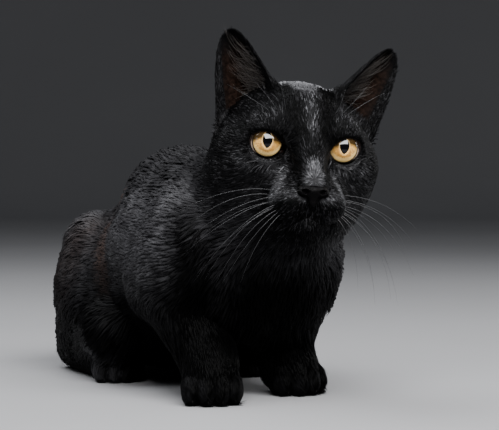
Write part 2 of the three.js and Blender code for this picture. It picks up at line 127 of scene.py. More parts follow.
def col(*v):
    """One place or direction, in the shape that meets an array of points."""
    return np.array(v, np.float32)[:, None]


def size(v):
    return np.sqrt(np.einsum("ij,ij->j", v, v))


def unit(v):
    return v / np.maximum(np.linalg.norm(v, axis=0), 1e-6)


def mirror(p):
    """The points, with those on the right moved over to the left: a form given once is on both sides."""
    return np.array([np.abs(p[0]), p[1], p[2]])


def smooth(low, high, x):
    t = np.clip((x - low) / (high - low), 0, 1)
    return t * t * (3 - 2 * t)


def mixed(a, b, share):
    return a * (1 - share) + b * share


def hump(p, centre, width):
    """1 at the centre, falling off over its own width along each axis."""
    return np.exp(-sum(((v - c) / w) ** 2 for v, c, w in zip(p, centre, width)))


class Frame:
    """A place with its own axes: turn holds the axes as columns, and lengths inside are times scale."""

    def __init__(self, at, yaw=0.0, pitch=0.0, roll=0.0, scale=1.0, within=None):
        z, x, y = (math.radians(v) for v in (yaw, pitch, roll))
        turn = Matrix.Rotation(z, 3, "Z") @ Matrix.Rotation(x, 3, "X") @ Matrix.Rotation(y, 3, "Y")
        self.turn = np.array(turn, np.float32)
        self.at = col(*at)
        self.scale = scale
        if within is not None:
            self.at = within.out(self.at)
            self.turn = within.turn @ self.turn

    def inside(self, p):
        return self.turn.T @ (p - self.at) / self.scale

    def out(self, p):
        return self.turn @ (np.asarray(p, np.float32) * self.scale) + self.at


def ball(centre, radii):
    c, r = col(*centre), col(*radii)

    def field(p):
        q = (p - c) / r
        k0 = size(q)
        q /= r
        return k0 * (k0 - 1) / np.maximum(size(q), 1e-6)

    return field


def limb(a, ra, b, rb):
    """A rounded limb from a to b whose radius goes from ra to rb."""
    a = col(*a)
    d = col(*b) - a
    length2 = float((d * d).sum())

    def field(p):
        q = p - a
        t = np.clip(np.einsum("ij,ik->j", q, d) / length2, 0, 1)
        q -= d * t
        return size(q) - ra - t * (rb - ra)

    return field


def limbs(stops):
    """Limbs from each (place, radius) to the next."""
    return [limb(*a, *b) for a, b in zip(stops, stops[1:])]


def join(soft, *distances):
    """The union, with creases filled over a width of soft."""
    d = distances[0]
    for e in distances[1:]:
        h = np.maximum(0, 1 - np.abs(d - e) / soft)
        d = np.minimum(d, e) - h * h * soft / 4
    return d


def carve(soft, d, cut):
    """d without cut, its new edges rounded over a width of soft."""
    return -join(soft, -d, cut)


def blend(soft, *fields):
    return lambda p: join(soft, *(f(p) for f in fields))


def placed(place, field):
    return lambda p: place.scale * field(place.inside(p))


def pair(form):
    return [form(side) for side in SIDES]


# ---------------------------------------- the cat's forms


def eye_place(side):
    return (side * EYE["apart"] / 2, EYE["deep"], 0)


def gaze_frame(side):
    yaw, pitch = (math.degrees(moved / EYE["radius"]) for moved in GAZE[side])
    return Frame((0, 0, 0), yaw=side * yaw, pitch=-pitch, within=eye_frames[side])


def forefoot(side):
    return Frame(FOREPAWS[side]["at"], yaw=side * FOREPAWS[side]["turn"])


def hindfoot(side):
    return Frame((side * HINDPAW["x"], HINDPAW["y"], 0), yaw=side * HINDPAW["turn"], scale=HINDPAW["size"])


head_frame = Frame(HEAD["at"], HEAD["yaw"], HEAD["pitch"], HEAD["roll"])
eye_frames = {s: Frame(eye_place(s), yaw=s * EYE["outward"], within=head_frame) for s in SIDES}
feet = pair(forefoot) + pair(hindfoot)

torso = blend(
    14,
    ball((0, -40, 83), (58, 74, 58)),  # ribs
    ball((12, -104, 78), (45, 36, 46)),  # breast
    ball((0, 16, 62), (56, 66, 57)),  # belly
    ball((0, 78, 63), (44, 50, 45)),  # hips
    limb((1, -62, 110), 35, (0, -4, 111), 35),
    limb((0, -4, 109), 34, (0, 90, 77), 29),
)
neck = blend(20, limb((4, -84, 98), 45, (17, -126, 134), 39), limb((7, -108, 84), 36, (15, -140, 112), 30))


def foreleg(side):
    x, y, _ = FOREPAWS[side]["at"]
    turn = math.radians(FOREPAWS[side]["turn"])
    sx, sy = SHOULDERS[side]

    def behind(length, z):
        return (x - side * length * math.sin(turn), y + length * math.cos(turn), z)

    elbow, wrist = (side * 41, y + 82, 63), behind(30, 25)
    return blend(
        12,
        ball((sx, sy, 84), (20, 34, 38)),
        limb((sx, sy + 4, 80), 20, elbow, 16),
        limb(elbow, 16, wrist, 13),
        limb((side * 40, sy - 2, 62), 16, wrist, 13.5),  # front of the forearm
        limb(wrist, 13, behind(20, 16), 13),
    )


def toe_place(i):
    return (i * TOE["apart"], 15.5 if abs(i) > 1 else 10.5, TOE["height"])


toe_row = blend(1.4, *(ball(toe_place(i), (5.7, 10.5, 9.6)) for i in TOES))
paw = blend(3.0, toe_row, ball((0, 27, 11), (15, 19, 12)))


def haunch(s):
    return blend(
        12,
        ball((s * 41, 60, 53), (22, 50, 46)),
        ball((s * 30, 80, 87), (20, 28, 20)),
        limb((s * 38, 60, 52), 26, (s * 46, -6, 36), 19),
        limb((s * 46, -6, 34), 18, (s * 44, 80, 22), 15),
    )


def hock(s):
    return limb((s * 42, 94, 12.5), 12.5, (s * 45, HINDPAW["y"] + 22, 9.8), 11)


def catmull_rom(points, t):
    """A point at share t of a centripetal curve through the points."""
    pts = [np.array(p, float) for p in points]
    span = t * (len(pts) - 1)
    i = min(int(span), len(pts) - 2)
    w = span - i
    p1, p2 = pts[i], pts[i + 1]
    p0 = pts[i - 1] if i > 0 else 2 * p1 - p2
    p3 = pts[i + 2] if i + 2 < len(pts) else 2 * p2 - p1
    g0, g1, g2 = (max(np.linalg.norm(b - a) ** 0.5, 1e-4) for a, b in ((p0, p1), (p1, p2), (p2, p3)))
    m1 = ((p1 - p0) / g0 - (p2 - p0) / (g0 + g1) + (p2 - p1) / g1) * g1
    m2 = ((p2 - p1) / g1 - (p3 - p1) / (g1 + g2) + (p3 - p2) / g2) * g1
    a, b = 2 * p1 - 2 * p2 + m1 + m2, -3 * p1 + 3 * p2 - 2 * m1 - m2
    return a * w**3 + b * w**2 + m1 * w + p1


def tail_stops():
    """Centres and radii along the tail. On the floor it sinks in by the flat."""
    stops = []
    for i in range(TAIL["steps"] + 1):
        t = i / TAIL["steps"]
        at = catmull_rom(TAIL_PATH, t)
        radius = TAIL["middle"] + (TAIL["tip"] - TAIL["middle"]) * t
        radius += (TAIL["base"] - TAIL["middle"]) * max(0, 1 - t / TAIL["on_floor"]) ** 2
        on_floor = radius - TAIL["flat"]
        at[2] = on_floor if t > TAIL["on_floor"] else max(at[2], on_floor)
        stops.append((at, radius))
    return stops


TAIL_STOPS = tail_stops()
tail = blend(3, *limbs(TAIL_STOPS))
head = placed(head_frame, blend(
    8,
    blend(
        15,
        ball((0, 35, 0), (38, 45, 33)),  # cranium
        ball((0, 26, 13), (29, 30, 19)),  # crown
        *pair(lambda s: ball((s * 24, 25, -13), (24.5, 26, 23))),  # cheeks
        *pair(lambda s: limb((s * 9, -6, -38), 10, (s * 24, 30, -30), 14)),  # jaws
    ),
    blend(
        5,
        blend(
            7,
            limb((0, 8, 14), 15, (0, -23, -15), 8),  # bridge
            ball((0, -27, -23), (7.5, 7, 7)),
            ball((0, -9, -27), (19, 21, 14)),  # muzzle
        ),
        *pair(lambda s: ball((s * 10.5, -19, -31), (11, 14.5, 10))),  # whisker pads
        ball((0, -12.5, -43), (10.5, 15.5, 7.5)),  # chin
    ),
    *pair(lambda s: ball((s * 30.5, 21, -9), (15, 16, 13))),  # cheekbones
    *pair(lambda s: ball((s * 17, 8, 13.5), (13, 10, 8))),  # brows
    blend(1, *pair(lambda s: ball(eye_place(s), [EYE["radius"] + EYE["lid"]] * 3))),
))
valley = blend(1.5, *limbs(VALLEY))
lips = limbs([(at, 0.9) for at in LIP])
mouth = blend(0.5, *(limb(a, 0.5, b, 0.6) for a, b in zip(MOUTH, MOUTH[1:])), *lips)
forelegs, haunches, hocks = pair(foreleg), pair(haunch), pair(hock)
paws = [placed(foot, paw) for foot in feet]


class Ear:
    """A cupped sheet between the inner and outer ends of its base and its tip, in the head frame.

    (s, t) run across and up the sheet: s is -1 at the inner edge and 1 at the outer, t is 0 at the base
    and 1 at the tip. over is the distance in front of or behind the sheet's middle, in mm."""

    def __init__(self, inner, outer, tip, cup):
        a, b, c = (np.array(v, np.float32) for v in (inner, outer, tip))
        root = (a + b) / 2
        across = (b - a) / np.linalg.norm(b - a)
        up = c - root
        back = np.cross(across, up)
        back /= np.linalg.norm(back) * (1 if back[1] > 0 else -1)
        self.root = root[:, None]
        self.axes = np.stack([across, up, back], 1)
        self.solve = np.linalg.inv(self.axes)
        self.height = float(np.linalg.norm(up))
        self.cup = cup * EAR["cup"]

    def width(self, t):
        above = np.maximum(t, 0)
        taper = EAR["half_width"] * (1 - 0.6 * above) + 6 * np.maximum(-t, 0)
        return taper * np.sqrt(np.maximum(0, 1 - np.minimum(above, 1) ** 6)) + 0.4

    def depth(self, t):
        above = np.clip(t, 0, 1)
        return self.cup * (1 - above) ** 0.8 + 2.5 * above

    def thick(self, t):
        return EAR["thick"] + (EAR["tip_thick"] - EAR["thick"]) * np.clip(t, 0, 1)

    def middle(self, s, t):
        depth = self.depth(t)
        return depth * (1 - s * s) - 0.35 * depth + self.thick(t) / 2

    def sheet(self, h):
        """(s, t, over, u) of points in the head frame; u is s in mm, and goes on past the edges."""
        u, t, w = self.solve @ (h - self.root)
        s = np.clip(u / self.width(t), -1.6, 1.6)
        return s, t, w - self.middle(s, t), u

    def place(self, s, t, over=0.0):
        return self.root + self.axes @ np.stack([s * self.width(t), t, self.middle(s, t) + over])

    def field(self, h):
        s, t, over, u = self.sheet(h)
        slope = 2 * self.depth(t) * np.abs(s) / np.maximum(self.width(t), 4)
        shell = np.abs(over) / np.sqrt(1 + slope * slope) - self.thick(t) / 2
        edge = (np.abs(u) - self.width(t)) * 0.85
        top, foot = (t - 1) * self.height, (-EAR["sunk"] - t) * self.height
        return -join(1.0, -shell, -np.maximum(np.maximum(edge, top), foot))


ears = [Ear(**EARS[side]) for side in SIDES]


def almond(x, z, grown=0.0):
    """Distance from the lids' opening, seen along the eye's axis; x grows away from the nose."""
    (cx, cz), radius = LIDS["lower"]
    (ux, uz), upper = LIDS["upper"]
    open_part = np.maximum(np.hypot(x - cx, z - cz) - radius, np.hypot(x - ux, z - uz) - upper)
    (ax, az), ra, (bx, bz), rb = LIDS["corner"]
    dx, dz = bx - ax, bz - az
    t = np.clip(((x - ax) * dx + (z - az) * dz) / (dx * dx + dz * dz), 0, 1)
    corner = np.hypot(x - ax - t * dx, z - az - t * dz) - ra - t * (rb - ra)
    return join(1.2, open_part, corner) - grown


def flare(e):
    """How much wider the opening is at a place in the eye's frame, as it widens in front of the eyeball."""
    front = np.sqrt(np.maximum(EYE["radius"] ** 2 - e[0] ** 2 - e[2] ** 2, 4.0))
    return 0.42 * np.clip(-e[1] - front - 0.6, 0, 6)


def socket(side, p):
    """What the lids leave open in front of the eye."""
    e = eye_frames[side].inside(p)
    wide = flare(e) * smooth(-11, -7, e[0] * side)
    return np.maximum(np.maximum(almond(e[0] * side, e[2], wide), LIDS["floor"] - size(e)), e[1] + 2)


def measure(p):
    """Distance to each of the zones at p, and to the whole coat's outline."""
    fore, thighs, heels, toes = ([f(p) for f in fields] for fields in (forelegs, haunches, hocks, paws))
    middle, throat, rear, face = (f(p) for f in (torso, neck, tail, head))
    trunk = join(9, join(16, middle, throat, *fore), rear)
    body = join(7, trunk, *(join(7, a, b) for a, b in zip(thighs, heels)))
    whole = join(5, join(22, body, face), *toes)
    legs = (np.minimum(*both) for both in (fore, thighs, heels))
    return np.stack([middle, throat, *legs, rear, face, np.minimum.reduce(toes)]), whole


def zone_weights(z, sharpness):
    """How much each zone has a say at a point, adding up to 1."""
    w = np.exp(-(z - z.min(0)) / sharpness)
    return dict(zip(ZONES, w / w.sum(0)))


def coat_depth(z, p):
    """How far the skin lies inside the coat's outline."""
    w = zone_weights(z, 7.0)
    depth = sum(w[name] * row[0] for name, row in COAT.items())
    front = w["head"] * (1 - smooth(-16, 30, head_frame.inside(p)[1]))
    depth = mixed(depth, 0.7, front)
    for side in SIDES:
        e = eye_frames[side].inside(p)
        near = 1 - smooth(EYE["radius"] + 2, EYE["radius"] + 7, np.sqrt((e * e).sum(0)))
        depth = mixed(depth, 0.35, near)
    return depth


def skin_field(p):
    z, whole = measure(p)
    h = head_frame.inside(p)
    d = whole + coat_depth(z, p)
    d += 1.9 * hump(h, (0, 28, 36), (27, 17, 10))  # a flatter crown
    near = (np.abs(h) < 90).all(0)
    if near.any():
        hn, dn = h[:, near], d[near]
        dn = join(4, dn, *(ear.field(hn) + 0.25 for ear in ears))
        for side in SIDES:
            dn = carve(0.8, dn, socket(side, p[:, near]))
        half = mirror(hn)
        d[near] = carve(1.2, carve(2.2, dn, valley(half)), mouth(half))
    return np.maximum(d, CLEAR - p[2])


# ---------------------------------------- surfaces


def graded(*runs):
    """Grid lines from runs of (end, step), the first run's end being where it starts."""
    at = [runs[0][0]]
    for end, step in runs[1:]:
        count = max(1, round((end - at[-1]) / step))
        at.extend(np.linspace(at[-1], end, count + 1)[1:])
    return np.array(at, np.float32)


# The grid is finest round the head, fine near the floor, and coarser elsewhere.
GRID = (
    graded((-70,), (-62, 1.6), (88, 0.8), (106, 1.8)),
    graded((-206,), (-98, 0.8), (-86, 1.2), (-36, 1.8), (32, 1.4), (178, 2.2)),
    graded((-3,), (26, 1.1), (84, 2.0), (96, 1.2), (222, 0.8)),
)
BLOCK = 8  # grid points along each side of a block
FAR = 6.0  # the largest distance that the grid holds


def cells(*axes):
    return np.stack(np.meshgrid(*axes, indexing="ij"))


def in_pieces(field, p, most=60000):
    return np.concatenate([field(p[:, i:i + most]) for i in range(0, p.shape[1], most)])


def sample_grid(field, grid):
    """The field's values on the grid, worked out only in the blocks that its surface crosses."""
    values = np.full([len(a) for a in grid], FAR, np.float32)
    starts = [np.arange(0, len(a), BLOCK) for a in grid]
    mids = [(a[b] + a[np.minimum(b + BLOCK, len(a)) - 1]) / 2 for a, b in zip(grid, starts)]
    reach = [(a[np.minimum(b + BLOCK, len(a) - 1)] - a[b]) / 2 for a, b in zip(grid, starts)]
    margin = 1.6 * np.sqrt((cells(*reach).reshape(3, -1) ** 2).sum(0)) + 2
    d = in_pieces(field, cells(*mids).reshape(3, -1))
    blocks = [tuple(slice(i, i + BLOCK) for i in at) for at in cells(*starts).reshape(3, -1).T]
    for n in np.flatnonzero(d < -margin):
        values[blocks[n]] = -FAR
    near = np.flatnonzero(np.abs(d) <= margin)
    for group in np.array_split(near, max(1, len(near) // 96)):
        parts = [cells(*(a[cut] for a, cut in zip(grid, blocks[n]))) for n in group]
        flat = field(np.concatenate([part.reshape(3, -1) for part in parts], 1))
        ends = np.cumsum([part[0].size for part in parts])
        for n, part, found in zip(group, parts, np.split(flat, ends[:-1])):
            values[blocks[n]] = found.reshape(part[0].shape)
    return np.clip(values, -FAR, FAR)


def surface(field, grid):
    """The field's zero surface as (vertices (3, n), quads)."""
    volume = openvdb.FloatGrid(FAR)
    volume.gridClass = openvdb.GridClass.LEVEL_SET
    volume.copyFromArray(sample_grid(field, grid))
    points, quads = volume.convertToQuads(0.0)
    at = np.stack([np.interp(points[:, a], np.arange(len(grid[a])), grid[a]) for a in range(3)])
    return at.astype(np.float32), quads[:, ::-1].astype(np.int32)


def slopes(field, p, step=0.15):
    """The field's unit gradient at p."""
    steps = step * np.eye(3, dtype=np.float32)[:, :, None]
    rise = np.stack([in_pieces(field, p + off) - in_pieces(field, p - off) for off in steps])
    return unit(rise.astype(np.float32))


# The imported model's place, found from an eye: its box is centred on the eyeball.
SHIFT = np.array(sum(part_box("eye_right"), Vector()) / 2)[:, None] / MM - eye_frames[RIGHT].at


def to_frame(p):
    """Millimetres in the body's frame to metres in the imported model's frame."""
    return (np.asarray(p, np.float64) + SHIFT) * MM


def add_mesh(name, at, faces, sides):
    """A smooth mesh object from vertices (n, 3) in metres and faces of the same number of sides."""
    mesh = bpy.data.meshes.new(name)
    mesh.vertices.add(len(at))
    mesh.vertices.foreach_set("co", np.ascontiguousarray(at, np.float32).ravel())
    mesh.loops.add(faces.size)
    mesh.loops.foreach_set("vertex_index", np.ascontiguousarray(faces, np.int32).ravel())
    mesh.polygons.add(len(faces))
    mesh.polygons.foreach_set("loop_start", np.arange(0, faces.size, sides, dtype=np.int32))
    mesh.polygons.foreach_set("use_smooth", np.full(len(faces), True))
    mesh.update(calc_edges=True)
    made = bpy.data.objects.new(name, mesh)
    bpy.context.scene.collection.objects.link(made)
    return made


def add_attribute(piece, name, values):
    piece.data.attributes.new(name, "FLOAT", "POINT").data.foreach_set("value", values.astype(np.float32))


def finish_piece(piece, slot, material, *nodes):
    piece.data.materials.append(material)
    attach(piece, "root")
    if nodes:
        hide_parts(*nodes)


# ---------------------------------------- materials


class Shader:
    """A material with one Principled shader, and short ways to add nodes to it."""

    def __init__(self, name, **settings):
        self.material = bpy.data.materials.new(name)
        self.material.use_nodes = True
        self.nodes, self.links = self.material.node_tree.nodes, self.material.node_tree.links
        self.give(**settings)

    def give(self, **settings):
        """Sets or links the shader's own sockets, and returns the material."""
        for key, value in settings.items():
            self.put(self.nodes["Principled BSDF"].inputs[key.replace("_", " ")], value)
        return self.material

    def put(self, socket, value):
        if isinstance(value, bpy.types.NodeSocket):
            self.links.new(value, socket)
        else:
            socket.default_value = value

    def node(self, kind, *inputs, out=0, **settings):
        """A new node's output. inputs go to its sockets in order, a setting with a capital to the socket of
        that name, and any other setting is a property."""
        made = self.nodes.new("ShaderNode" + kind)
        for key, value in settings.items():
            if key[0].isupper():
                self.put(made.inputs[key], value)
            else:
                setattr(made, key, value)
        for socket, value in zip(made.inputs, inputs):
            self.put(socket, value)
        return made.outputs[out]

    def calc(self, operation, a, b=0.0):
        return self.node("Math", a, b, operation=operation)

    def times(self, a, b):
        return self.calc("MULTIPLY", a, b)

    def minus(self, a, b):
        return self.calc("SUBTRACT", a, b)

    def mix(self, share, a, b):
        made = self.node("Mix", share, data_type="RGBA").node
        for socket, colour in ((made.inputs[6], a), (made.inputs[7], b)):
            self.put(socket, (*colour, 1) if isinstance(colour, tuple) else colour)
        return made.outputs[2]

    def between(self, value, low, high, start=0.0, end=1.0):
        """value taken from low..high to start..end, with soft ends."""
        return self.node("MapRange", value, low, high, start, end, interpolation_type="SMOOTHSTEP")

    def place(self):
        return self.node("TexCoord", out="Object")

    def noise(self, scale, detail=2.0, vector=None):
        if vector is None:
            vector = self.place()
        return self.node("TexNoise", Vector=vector, Scale=scale, Detail=detail)

    def patches(self, scale, detail, a, b, low=0.3, high=0.7):
        """Colour a, with soft-edged patches of colour b."""
        return self.mix(self.between(self.noise(scale, detail), low, high), a, b)

    def attribute(self, name):
        return self.node("Attribute", attribute_name=name, out="Fac")

    def scaled(self, vector, scale):
        return self.node("VectorMath", vector, operation="SCALE", Scale=scale)

    def bump(self, height, strength, distance):
        self.give(Normal=self.node("Bump", Height=height, Strength=strength, Distance=distance))


BLACK, CHARCOAL = (0.0046, 0.0045, 0.0049), (0.0098, 0.0097, 0.0104)
GREY, RUST = (0.115, 0.115, 0.122), (0.029, 0.0178, 0.0138)


# A tuft's light is stored as its shade, times stored and no less than least. The material multiplies by gain.
SHADE = {"stored": 0.118, "least": 0.006, "gain": 8.0}
UNDERCOAT = 0.25  # how much of the coat's colour the skin below it has


def coat_colour(shader):
    """The coat's colour on skin and hair: near black, with the rusty hair of its markings and grey hair that
    is partly painted highlight.
    """
    colour = shader.patches(90, 2, BLACK, CHARCOAL, 0.35)
    ragged = shader.between(shader.noise(520, 3), 0.3, 0.7, 0.45, 1.0)
    for name, paint in (("grey", GREY), ("rust", RUST)):
        colour = shader.mix(shader.times(shader.attribute(name), ragged), colour, paint)
    return colour


def coat_material():
    shader = Shader("coat", Specular_IOR_Level=0.015)
    shade = shader.attribute("shade")
    # Each hair darker towards its root: painted shade deep in the coat.
    tips = shader.between(shader.attribute("along"), 0.0, 0.6, 0.6, 1.0)
    # The stored shade brings in each tuft's painted light and shade.
    colour = shader.scaled(coat_colour(shader), shader.times(shader.times(shade, SHADE["gain"]), tips))
    return shader.give(Base_Color=colour, Roughness=shader.between(shade, 0, 0.5, 0.44, 0.34))


def skin_material():
    """Dark skin and undercoat, and the bare brown lining of the ears."""
    shader = Shader("skin", Roughness=0.65, Specular_IOR_Level=0.015)
    lining = shader.patches(420, 4, (0.0042, 0.0023, 0.0017), (0.013, 0.0075, 0.0057), 0.35)
    shader.bump(shader.calc("ADD", shader.noise(2600, 4), shader.noise(700, 2)), 0.35, 0.0006)
    under = shader.scaled(coat_colour(shader), UNDERCOAT)
    return shader.give(Base_Color=shader.mix(shader.attribute("lining"), under, lining))


PUPIL = {"half_width": 2.8, "half_height": 4.8, "lift": 1.1}


def iris_normal(shader, across, z):
    """The iris is a bowl behind the clear cornea, so its lower half catches the light from above."""
    rise = shader.minus(0.35, shader.times(z, 0.06))
    bowl = shader.node("CombineXYZ", shader.times(across, -0.05), -1.0, rise)
    turned = shader.node("VectorTransform", bowl, vector_type="NORMAL",
                         convert_from="OBJECT", convert_to="WORLD")
    return shader.node("VectorMath", turned, operation="NORMALIZE")


def eye_material(side):
    """The iris, pupil and dark rim on the eye's front, in the eye's own frame: -Y is its axis. The iris has
    painted light below and painted shade above and towards the nose.
    """
    shader = Shader("eye_right" if side == RIGHT else "eye_left", Roughness=0.5, Specular_IOR_Level=0.0,
                    Coat_Roughness=0.015, Coat_IOR=1.55)
    calc, times, minus, between = shader.calc, shader.times, shader.minus, shader.between
    across, _, z = shader.node("SeparateXYZ", shader.scaled(shader.place(), 1 / MM)).node.outputs
    x = times(across, float(side))

    def reach(a, b):
        return calc("SQRT", calc("ADD", times(a, a), times(b, b)))

    radius = reach(x, z)
    outward = calc("MAXIMUM", radius, 0.2)
    way = calc("DIVIDE", x, outward), calc("DIVIDE", z, outward)
    rays = shader.node("CombineXYZ", *way, times(radius, 0.10))
    collar = between(calc("ABSOLUTE", minus(reach(x, calc("ADD", z, 1.4)), 3.6)), 1.8, 0.0, 0.0, 0.85)
    white = between(radius, EYE["iris"] + 0.2, EYE["iris"] + 0.6, 0.0, 0.85)
    (ux, uz), ring = LIDS["upper"]
    under_lid = minus(ring, reach(minus(x, ux - GAZE[side][0]), minus(z, uz - GAZE[side][1])))
    shadow = times(between(under_lid, 4.9, 2.5), between(z, -2.0, 1.5))
    arc = (PUPIL["half_height"] ** 2 + PUPIL["half_width"] ** 2) / (2 * PUPIL["half_width"])
    to_arc = reach(calc("ADD", calc("ABSOLUTE", x), arc - PUPIL["half_width"]), minus(z, PUPIL["lift"]))
    edge = minus(to_arc, arc)
    # Lighter at the bottom and darker at the top: painted light from above, falling through the cornea onto
    # the lower iris.
    colour = shader.mix(between(z, -7.5, 3.5), (1.0, 0.58, 0.17), (0.48, 0.28, 0.085))
    for share, paint in (
        (between(x, 1.0, -6.0, 0.0, 0.8), (0.40, 0.20, 0.05)),  # painted shade, darker towards the nose
        (between(shader.noise(8, 6, rays), 0.40, 0.58, 0, 0.85), (0.32, 0.17, 0.042)),  # fibres
        (between(shader.noise(1100, 3), 0.45, 0.62, 0, 0.7), (0.30, 0.155, 0.04)),  # specks
        (times(collar, between(z, 0.5, -2.5)), (0.24, 0.115, 0.025)),
        (between(minus(radius, times(z, 0.3)), 6.8, 9.0, 0.0, 0.9), (1.0, 0.70, 0.28)),  # painted light at the bottom
        (between(radius, EYE["iris"] - 0.8, EYE["iris"] + 0.1), (0.010, 0.006, 0.004)),  # the dark rim
        (times(white, between(x, 1.0, 4.0)), (0.42, 0.33, 0.27)),  # the white, in the outer corner only
        (times(shadow, 0.95), (0.012, 0.007, 0.003)),  # painted shadow under the upper lid's lashes
        (between(edge, 0.9, 0.1, 0.0, 0.35), (0.72, 0.50, 0.24)),  # a pale line round the pupil
        (between(edge, 0.14, -0.12), (0.0012, 0.0012, 0.0015)),
    ):
        colour = shader.mix(share, colour, paint)
    return shader.give(Base_Color=colour, Coat_Weight=between(z, -3.5, 1.5, 0.3, 1.0),
                       Normal=iris_normal(shader, across, z))


def nose_material():
    shader = Shader("nose_leather", Specular_IOR_Level=0.035)
    pebbles = shader.node("TexVoronoi", Vector=shader.place(), Scale=1700.0)
    colour = shader.mix(shader.between(pebbles, 0.1, 0.7), (0.0026, 0.0023, 0.0025), (0.001, 0.0009, 0.001))
    shader.bump(shader.times(pebbles, -1.0), 0.5, 0.0004)
    return shader.give(Base_Color=colour, Roughness=shader.between(shader.noise(500, 2), 0.3, 0.7, 0.3, 0.45))


def lid_material():
    shader = Shader("lid_margin", Roughness=0.42, Specular_IOR_Level=0.11)
    shader.bump(shader.noise(1800, 3), 0.2, 0.0003)
    return shader.give(Base_Color=shader.patches(600, 3, (0.003, 0.0022, 0.0022), (0.012, 0.006, 0.005)))


def hair_material(name, root, tip, roughness=0.35):
    """Stiff hairs whose colour changes from root to tip."""
    shader = Shader(name, Roughness=roughness, Specular_IOR_Level=0.5)
    return shader.give(Base_Color=shader.mix(shader.attribute("along"), root, tip))


def claw_material():
    shader = Shader("claw", Roughness=0.45, Specular_IOR_Level=0.05)
    colour = shader.mix(shader.attribute("along"), (0.003, 0.0026, 0.0023), (0.005, 0.0044, 0.0038))
    clouds = shader.between(shader.noise(900, 2), 0.4, 0.7, 0, 0.4)
    return shader.give(Base_Color=shader.mix(clouds, colour, (0.01, 0.008, 0.007)))


# ---------------------------------------- the coat's markings, and painted light and shade

# A marking is a row of rods on the left side, each from one place and radius to another, and its share.
# Grey hairs, in the head frame: partly grey hair, mostly painted highlight where light from above catches the
# head.
GREY_AND_HIGHLIGHT_RODS = [
    ((0, 32, 35), 9, (0, 16, 33), 7.5, 0.95),  # the crown
    ((0, 34, 35), 8, (14, 34, 33), 8, 0.95),
    ((0, 16, 33), 7.5, (0, -5, 21), 4.0, 0.42),  # the streak down the forehead
    ((0, -5, 21), 4.0, (-0.5, -13, 11), 2.8, 0.38),
    ((-0.5, -13, 11), 2.6, (-0.8, -20, 1), 1.4, 0.3),
    ((0, -25, -9), 3.4, (0, -31, -17), 6.2, 0.95),  # the end of the bridge
    ((17, -3, 17.5), 3.4, (30, 5, 12.5), 4.2, 0.16),  # over the eye
    ((19, -7, -12), 4.5, (33, 3, -10), 6.5, 0.38),  # under the eye
    ((15, -13, -14), 3.0, (19, -20, -24), 5.0, 0.6),
    ((9.5, -32, -25), 2.2, (3.5, -34, -31), 1.8, 0.65),  # beside the nose
    ((12, -28, -28), 4.0, (20, -20, -29), 5.0, 0.6),
    ((12.4, -8, -3), 0.9, (12.4, -12.5, -10), 1.3, 0.8),  # from the inner corner of the eye
]
# Rusty hairs, in the body's frame: in the fold between flank and thigh, and on the thigh.
RUST_RODS = [
    ((44, 26, 107), 7, (54, -4, 64), 8, 0.45),
    ((34, 12, 118), 6, (38, 42, 112), 7, 0.5),
    ((46, 50, 88), 18, (58, 66, 60), 22, 0.13),
]
# Painted shade, as the blackest hair, in the head frame: from the forehead past the eye to the nose.
PAINTED_SHADE_RODS = [
    ((13, 20, 31), 6.5, (10.5, 0, 23), 5.0, 1.0),
    ((10.5, 0, 23), 5.0, (8.5, -11, 9), 3.8, 1.0),
    ((8.5, -11, 9), 3.8, (8.5, -19, -6), 3.0, 1.0),
    ((8.5, -19, -6), 3.0, (9.5, -27, -16), 2.6, 0.9),
]


def markings_and_painted_light(p):
    """The share of grey hair, partly painted highlight, of rusty hair, and of the blackest hair, which is
    painted shade, at p.
    """
    h = head_frame.inside(p)
    shares = []
    for table, q, sharp in ((GREY_AND_HIGHLIGHT_RODS, h, 0.5), (RUST_RODS, p, 0.9), (PAINTED_SHADE_RODS, h, 0.5)):
        share = np.zeros(p.shape[1], np.float32)
        for a, ra, b, rb, most in table:
            edge = sharp * max(ra, rb)
            share = np.maximum(share, most * smooth(edge, -edge, limb(a, ra, b, rb)(mirror(q))))
        shares.append(share)
    return shares


# ---------------------------------------- the skin


def make_skin():
    at, quads = surface(skin_field, GRID)
    for _ in range(2):  # slides each point onto the exact surface
        step = in_pieces(skin_field, at)
        at -= slopes(skin_field, at) * np.clip(step, -0.5, 0.5)
    normal = slopes(skin_field, at, 0.4)
    piece = add_mesh("skin", to_frame(at).T, quads, 4)
    lining = np.zeros(at.shape[1], np.float32)
    for ear in ears:
        s, t, over, _ = ear.sheet(head_frame.inside(at))
        front = smooth(-0.2, -1.0, over) * smooth(0.88, 0.5, np.abs(s)) * smooth(-0.05, 0.1, t)
        lining = np.maximum(lining, front * smooth(0.96, 0.5, t) * (np.abs(over) < 9))
    for name, values in zip(("lining", "grey", "rust"), (lining, *markings_and_painted_light(at))):
        add_attribute(piece, name, values)
    flesh = [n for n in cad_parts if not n.startswith(("eye", "nose"))]
    finish_piece(piece, "coat", skin_material(), *flesh)
    return at, quads, normal


# ---------------------------------------- the coat


def waves(length, count=10, seed=0):
    """A smooth noise field of about that wavelength in mm, roughly -1 to 1."""
    own = np.random.default_rng(seed)
    ways = own.normal(size=(count, 3)).astype(np.float32)
    ways *= (2 * math.pi / length) * own.uniform(0.7, 1.4, (count, 1)) / np.linalg.norm(ways, axis=1)[:, None]
    phase = own.uniform(0, 2 * math.pi, (count, 1))
    return lambda p: np.sin(ways @ p + phase).sum(0).astype(np.float32) / math.sqrt(count)


slow_wave, quick_wave, ruffle = waves(34, seed=1), waves(12, seed=2), waves(8, seed=3)
fine_lock, broad_lock = waves(2.6, 14, seed=4), waves(5.0, 14, seed=5)


def tail_way(p):
    """The tail's own direction beside each point."""
    ends = np.array([at for at, _ in TAIL_STOPS])
    mids, ways = ((ends[:-1] + ends[1:]) / 2).astype(np.float32), np.diff(ends, axis=0).astype(np.float32)
    nearest = ((p.T[:, None, :] - mids) ** 2).sum(2).argmin(1)
    return unit(ways[nearest].T)


